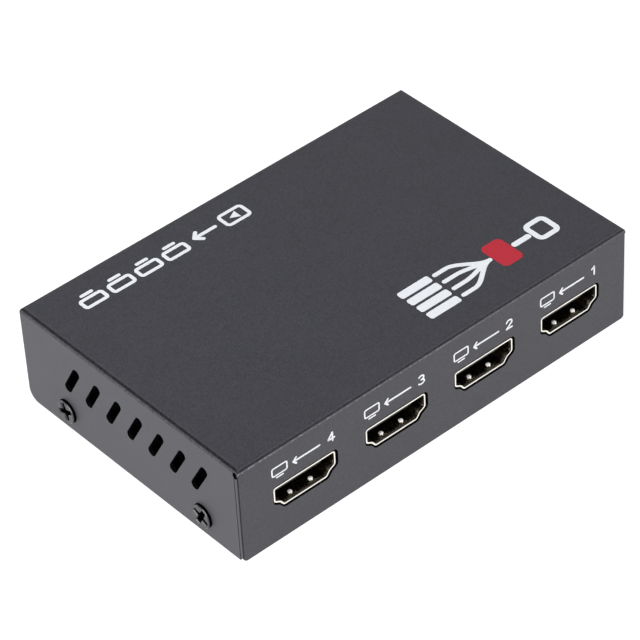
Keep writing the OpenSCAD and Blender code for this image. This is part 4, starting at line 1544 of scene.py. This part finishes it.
@dataclass
class CoverScrews(Trim):
    """The four screws of the cover: flat heads with cross recesses on threaded shanks.

    Attributes:
        side_x: Place of the cover's sides along X.
        bevel: Width and height of the bevel round a head.
        shank_r: Radius over the thread's crests.
        shank: Length under the head.
        root: How far the shank reaches into the head.
        pitch: Pitch of the thread.
        thread: Depth of the thread.
        run_out: Length under the head over which the thread gets its depth.
        tip: Length of the tip's taper.
        tip_share: Share of the radius that is left at the tip.
        arm: Length of the recess's arms from the middle.
        root_w: Width of an arm at the middle.
        tip_w: Width of an arm at its tip.
        square: Half diagonal of the square between the arms, as a share of their root's width.
        depth: Depth of the recess.
        rising: Share of its depth that the recess loses towards the tips.
        wall: Width of the recess's walls.
        chamfer: Width and depth of the chamfer round the recess.
        turns: Turn of each screw about its axis, in degrees.
        head_grid: Rings on a head's flat top and points in each.
        shank_grid: Rings down a shank and points in each.
    """

    side_x: float
    bevel: float = 0.2
    shank_r: float = 1.5
    shank: float = 4.0
    root: float = 0.03
    pitch: float = 0.5
    thread: float = 0.27
    run_out: float = 0.4
    tip: float = 0.5
    tip_share: float = 0.55
    arm: float = 1.95
    root_w: float = 1.3
    tip_w: float = 0.95
    square: float = 0.85
    depth: float = 0.56
    rising: float = 0.3
    wall: float = 0.06
    chamfer: float = 0.18
    turns: tuple[float, ...] = (62.0, 20.0, 35.0, 71.0)
    head_grid: tuple[int, int] = (65, 176)
    shank_grid: tuple[int, int] = (80, 48)
    smooth_below: ClassVar[float] = 50
    # Rings of a head's rim above its foot: shares of the bevel run outwards and down, and of
    # painted shade.
    RIM: ClassVar[Points] = np.array(
        [(0.06, 0.06, 0), (0.5, 0.5, 0), (0.92, 0.92, 1), (1.0, 1.0, 1), (1.0, 1.08, 1)]
    )

    def __post_init__(self) -> None:
        """Takes the heads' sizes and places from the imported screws."""
        low, high = corners_of("cover_screws")
        self.head_r = (high[2] - low[2]) / 2
        self.head_h = high[0] - self.side_x
        self.height = (low[2] + high[2]) / 2
        self.places = (low[1] + self.head_r, high[1] - self.head_r)

    def from_cross(self, x: Points, y: Points) -> Points:
        """Distance from the edge of the cross, below zero inside it.

        It is the smallest of the distances to the two arms, whose widths go evenly from the
        root's to the tip's, and to the square that stands on its corner between them.

        Args:
            x: Places along one arm.
            y: Places along the other.

        Returns:
            The distances.
        """
        a, b = np.abs(x), np.abs(y)
        narrow = (self.root_w - self.tip_w) / 2 / self.arm
        along = np.maximum(a - self.arm, b - self.root_w / 2 + narrow * a)
        across = np.maximum(b - self.arm, a - self.root_w / 2 + narrow * b)
        return np.minimum(np.minimum(along, across), (a + b) - self.square * self.root_w)

    def recess(self, gap: Points) -> Points:
        """How far the head is sunk, from 0 to 1, evenly over the walls inside the cross's edge."""
        return np.clip(-gap / self.wall, 0, 1)

    def head_height(self, x: Points, y: Points) -> Points:
        """Height of the head's upper side over a place.

        It is flat, with the cross sunk into it, deepest in the middle, and a chamfer round the
        cross that falls evenly towards it.

        Args:
            x: Places along one arm.
            y: Places along the other.

        Returns:
            The heights above the head's foot.
        """
        gap = self.from_cross(x, y)
        deep = self.depth * (1 - self.rising * np.clip(np.hypot(x, y) / self.arm, 0, 1))
        chamfer = np.clip(self.chamfer - gap, 0, self.chamfer)
        return self.head_h - np.maximum(chamfer, deep * self.recess(gap))

    def head(self) -> tuple[Patch, Points]:
        """One head, standing on its foot.

        The two parameters are the angle and the way along the outline, which runs from the
        middle over the bevel and down the rim to the foot and its middle.

        Returns:
            The closed surface, and each point's share of painted shade in the cross or on the rim.
        """
        rows, count = self.head_grid
        angle = full_turn(count)
        radii = np.linspace(0, self.head_r - self.bevel, rows + 1)[1:]
        r, a = np.meshgrid(radii, angle, indexing="ij")
        x, y = r * np.cos(a), r * np.sin(a)
        top = turned(r, a, self.head_height(x, y))
        out, down, shade_share = np.vstack([self.RIM, self.RIM[-1]]).T
        edge_r = self.head_r - self.bevel * (1 - out)
        edge_z = self.head_h - down * self.bevel
        edge_z[-1] = 0.0
        edge = turned(edge_r[:, None], angle, edge_z[:, None])
        middle = float(self.head_height(np.zeros(1), np.zeros(1))[0])
        head = capped(np.concatenate([top, edge]), (0, 0, middle), (0, 0, 0))
        cross = self.recess(self.from_cross(x, y)).ravel()
        return head, np.concatenate([cross, np.repeat(shade_share, count), [1.0, 1.0]])

    def threaded_shank(self) -> Patch:
        """One threaded shank, hanging from its head's foot.

        The two parameters are the angle and the way down.  The radius falls from the crest by
        the thread's depth times half of one less the cosine of the angle less a turn for each
        pitch, and tapers at the tip.

        Returns:
            The closed surface.
        """
        rows, count = self.shank_grid
        down = np.linspace(self.root, -self.shank, rows)
        turn, drop = np.meshgrid(full_turn(count), down, indexing="xy")
        wave = (1 - np.cos(turn - 2 * np.pi * drop / self.pitch)) / 2
        taper = np.clip((self.shank + drop) / self.tip, self.tip_share, 1)
        depth = self.thread * wave * np.clip(-drop / self.run_out, 0, 1)
        rings = turned((self.shank_r - depth) * taper, turn, drop)
        return capped(rings, (0, 0, self.root), (0, 0, -self.shank))

    def surfaces(self) -> dict[str, tuple[Patch, Stock]]:
        """The four screws in the cover's sides as one piece.

        Returns:
            The screws and their finish.
        """
        head, head_shade = self.head()
        shank = self.threaded_shank()
        screw = joined([head, shank])
        places = [(side, y) for side in (-1, 1) for y in self.places]
        screws = []
        for (side, y), turn in zip(places, self.turns):
            c, s = math.cos(math.radians(turn)), math.sin(math.radians(turn))
            axes = axes_of((0, side * c, s), (0, -side * s, c))
            screws.append(screw.placed((side * self.side_x, y, self.height), axes))
        # Share of painted shade of every point, full on the shanks.
        self.painted_shade = np.tile(np.concatenate([head_shade, np.ones(len(shank.points))]), len(screws))
        return {"cover_screw_set": (joined(screws), Stock.BLACK_SCREW)}

    def build(self, palette: Palette) -> list[bpy.types.Object]:
        """Makes the screws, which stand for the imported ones, and marks what is sunk.

        Args:
            palette: Maker of the materials.

        Returns:
            The new piece, in a list.
        """
        (piece,) = super().build(palette)
        shares = piece.data.attributes.new(SHADE_ATTRIBUTE, "FLOAT", "POINT")
        shares.data.foreach_set("value", self.painted_shade)
        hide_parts("cover_screws")
        return [piece]


@dataclass(frozen=True)
class Softbox:
    """A square soft lamp that looks at the box.

    Attributes:
        name: Name of the lamp.
        place: Where it hangs, in millimetres.
        size: Length of its side, in millimetres.
        power: Its power, in watts.
        aim: Height of the point that it looks at, in millimetres.
    """

    name: str
    place: tuple[float, float, float]
    size: float
    power: float
    aim: float = 10.0

    def hang(self) -> None:
        """Puts the lamp into the scene."""
        light = bpy.data.lights.new(self.name, "AREA")
        light.size = self.size * MM
        light.energy = self.power
        hung = bpy.data.objects.new(self.name, light)
        at = Vector(self.place) * MM
        hung.location = at
        hung.rotation_mode = "QUATERNION"
        hung.rotation_quaternion = (Vector((0, 0, self.aim * MM)) - at).to_track_quat("-Z", "Y")
        bpy.context.scene.collection.objects.link(hung)


@dataclass
class Studio:
    """Floor, soft lamps, white surroundings and the camera.

    Attributes:
        eye: Place of the camera, in millimetres.
        azimuth: Direction that the camera looks from, in degrees.
        elevation: Its height over the horizon, in degrees.
        roll: Its turn about its own axis, in degrees.
        lens: Focal length.
        sensor: Width of the sensor that the focal length goes with.
        clip: Nearest and farthest distance that the camera sees, in metres.
        air: Strength of the surroundings as light on matt surfaces.
        ceiling: Strength of what lies overhead, as a camera or a mirror sees it.
        overhead: Colour of what lies overhead.
        wall: Heights, as sines, over which the white walls go over into the ceiling.
        floor: How much light the floor gives back.
        white: What is added to the floor as the camera sees it.
        floor_half: Half the floor's side, in millimetres.
        floor_drop: Distance from the box's underside down to the floor.
        floor_points: Points along a side of the floor.
        lamps: The soft lamps.
    """

    eye: tuple[float, float, float] = (-309.167, -374.998, 423.919)
    azimuth: float = -39.336
    elevation: float = 40.47
    roll: float = -3.415
    lens: float = 190.694
    sensor: float = 36.0
    clip: tuple[float, float] = (0.05, 20.0)
    air: float = 0.475
    ceiling: float = 0.32
    overhead: Colour = (0.88, 0.925, 1.0)
    wall: tuple[float, float] = (0.25, 0.55)
    floor: float = 0.4
    white: float = 0.82
    floor_half: float = 2000.0
    floor_drop: float = 0.05
    floor_points: int = 9
    lamps: tuple[Softbox, ...] = (
        Softbox("left_softbox", (-900, -150, 330), 700, 10.8),
        Softbox("front_softbox", (480, -850, 200), 380, 4.8),
        Softbox("rear_softbox", (-250, 900, 260), 500, 2.8),
    )

    def surround(self) -> None:
        """White walls under a dimmer ceiling, weaker as light on matt surfaces."""
        world = bpy.data.worlds.new("white_tent")
        bpy.context.scene.world = world
        world.use_nodes = True
        nodes = Nodes(world.node_tree)
        light = nodes.tree.nodes["Background"]
        up = nodes.parts(nodes.add("ShaderNodeTexCoord").outputs["Generated"])[2]
        high = nodes.span(up, self.wall, UNIT)
        colour = nodes.blend(high, (1, 1, 1, 1), (*self.overhead, 1))
        mirrored = nodes.span(high, UNIT, (1.0, self.ceiling))
        nodes.feed(colour, light.inputs["Color"])
        strength = nodes.span(nodes.seen(), UNIT, (self.air, mirrored))
        nodes.feed(strength, light.inputs["Strength"])

    def lay_floor(self) -> None:
        """A wide pale floor that is white to the camera and keeps the box's shadow."""
        material = bare_material("pale_floor")
        nodes = Nodes(material.node_tree)
        matt = nodes.add("ShaderNodeBsdfDiffuse")
        matt.inputs["Color"].default_value = (self.floor, self.floor, self.floor, 1)
        shine = nodes.add("ShaderNodeEmission")
        level = nodes.span(nodes.seen(), UNIT, (0, self.white))
        nodes.feed(level, shine.inputs["Strength"])
        both = nodes.add("ShaderNodeAddShader")
        for shader, goal in zip((matt, shine), both.inputs):
            nodes.feed(shader.outputs[0], goal)
        nodes.feed(both.outputs[0], nodes.add("ShaderNodeOutputMaterial").inputs["Surface"])
        side = np.linspace(-self.floor_half, self.floor_half, self.floor_points)
        u, v = np.meshgrid(side, side, indexing="xy")
        points = np.stack([u, v, np.full_like(u, -self.floor_drop)], axis=2).reshape(-1, 3)
        faces = grid_faces(self.floor_points, self.floor_points, False, False)
        floor = make_piece("floor", Patch(points, [faces]), material, Trim.smooth_below)

    def set_camera(self) -> None:
        """The camera at the photograph's place, turned by its angles."""
        a, e, r = (math.radians(x) for x in (self.azimuth, self.elevation, self.roll))
        back = Vector((math.sin(a) * math.cos(e), -math.cos(a) * math.cos(e), math.sin(e)))
        level = (-back).cross(Vector((0, 0, 1))).normalized()
        up = level.cross(-back)
        right = math.cos(r) * level + math.sin(r) * up
        top = math.cos(r) * up - math.sin(r) * level
        lens = bpy.data.cameras.new("photo_camera")
        lens.sensor_width = self.sensor
        lens.lens = self.lens
        lens.clip_start, lens.clip_end = self.clip
        camera = bpy.data.objects.new("photo_camera", lens)
        axes = Matrix((right, top, back)).transposed().to_4x4()
        camera.matrix_world = Matrix.Translation(Vector(self.eye) * MM) @ axes
        bpy.context.scene.collection.objects.link(camera)
        bpy.context.scene.camera = camera

    def build(self) -> None:
        """Sets up the whole studio."""
        bpy.context.scene.view_settings.view_transform = "Standard"
        self.surround()
        self.lay_floor()
        for lamp in self.lamps:
            lamp.hang()
        self.set_camera()


def main() -> None:
    """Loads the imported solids, dresses them, adds the other pieces and sets up the studio."""
    logging.basicConfig(level=logging.INFO, format="%(name)s: %(message)s")
    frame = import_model()
    palette = Palette()
    SolidParts(frame["nodes"], frame["record"]).dress(palette)
    cover, tray = corners_of("top_cover"), corners_of("base_tray")
    mounts = mount_places(frame["record"])
    trims = (
        TopMarks(cover[1, 2]),
        PortMarks(cover[0, 1], mounts),
        RearMarks(tray[1, 1], mounts),
        FingerDimples(mounts),
        CoverScrews(cover[1, 0]),
    )
    for trim in trims:
        for piece in trim.build(palette):
            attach(piece, Rider.BOX.value)
            LOG.info("%s rides on %s", piece.name, Rider.BOX.value)
    Studio().build()


if __name__ == "__main__":
    main()
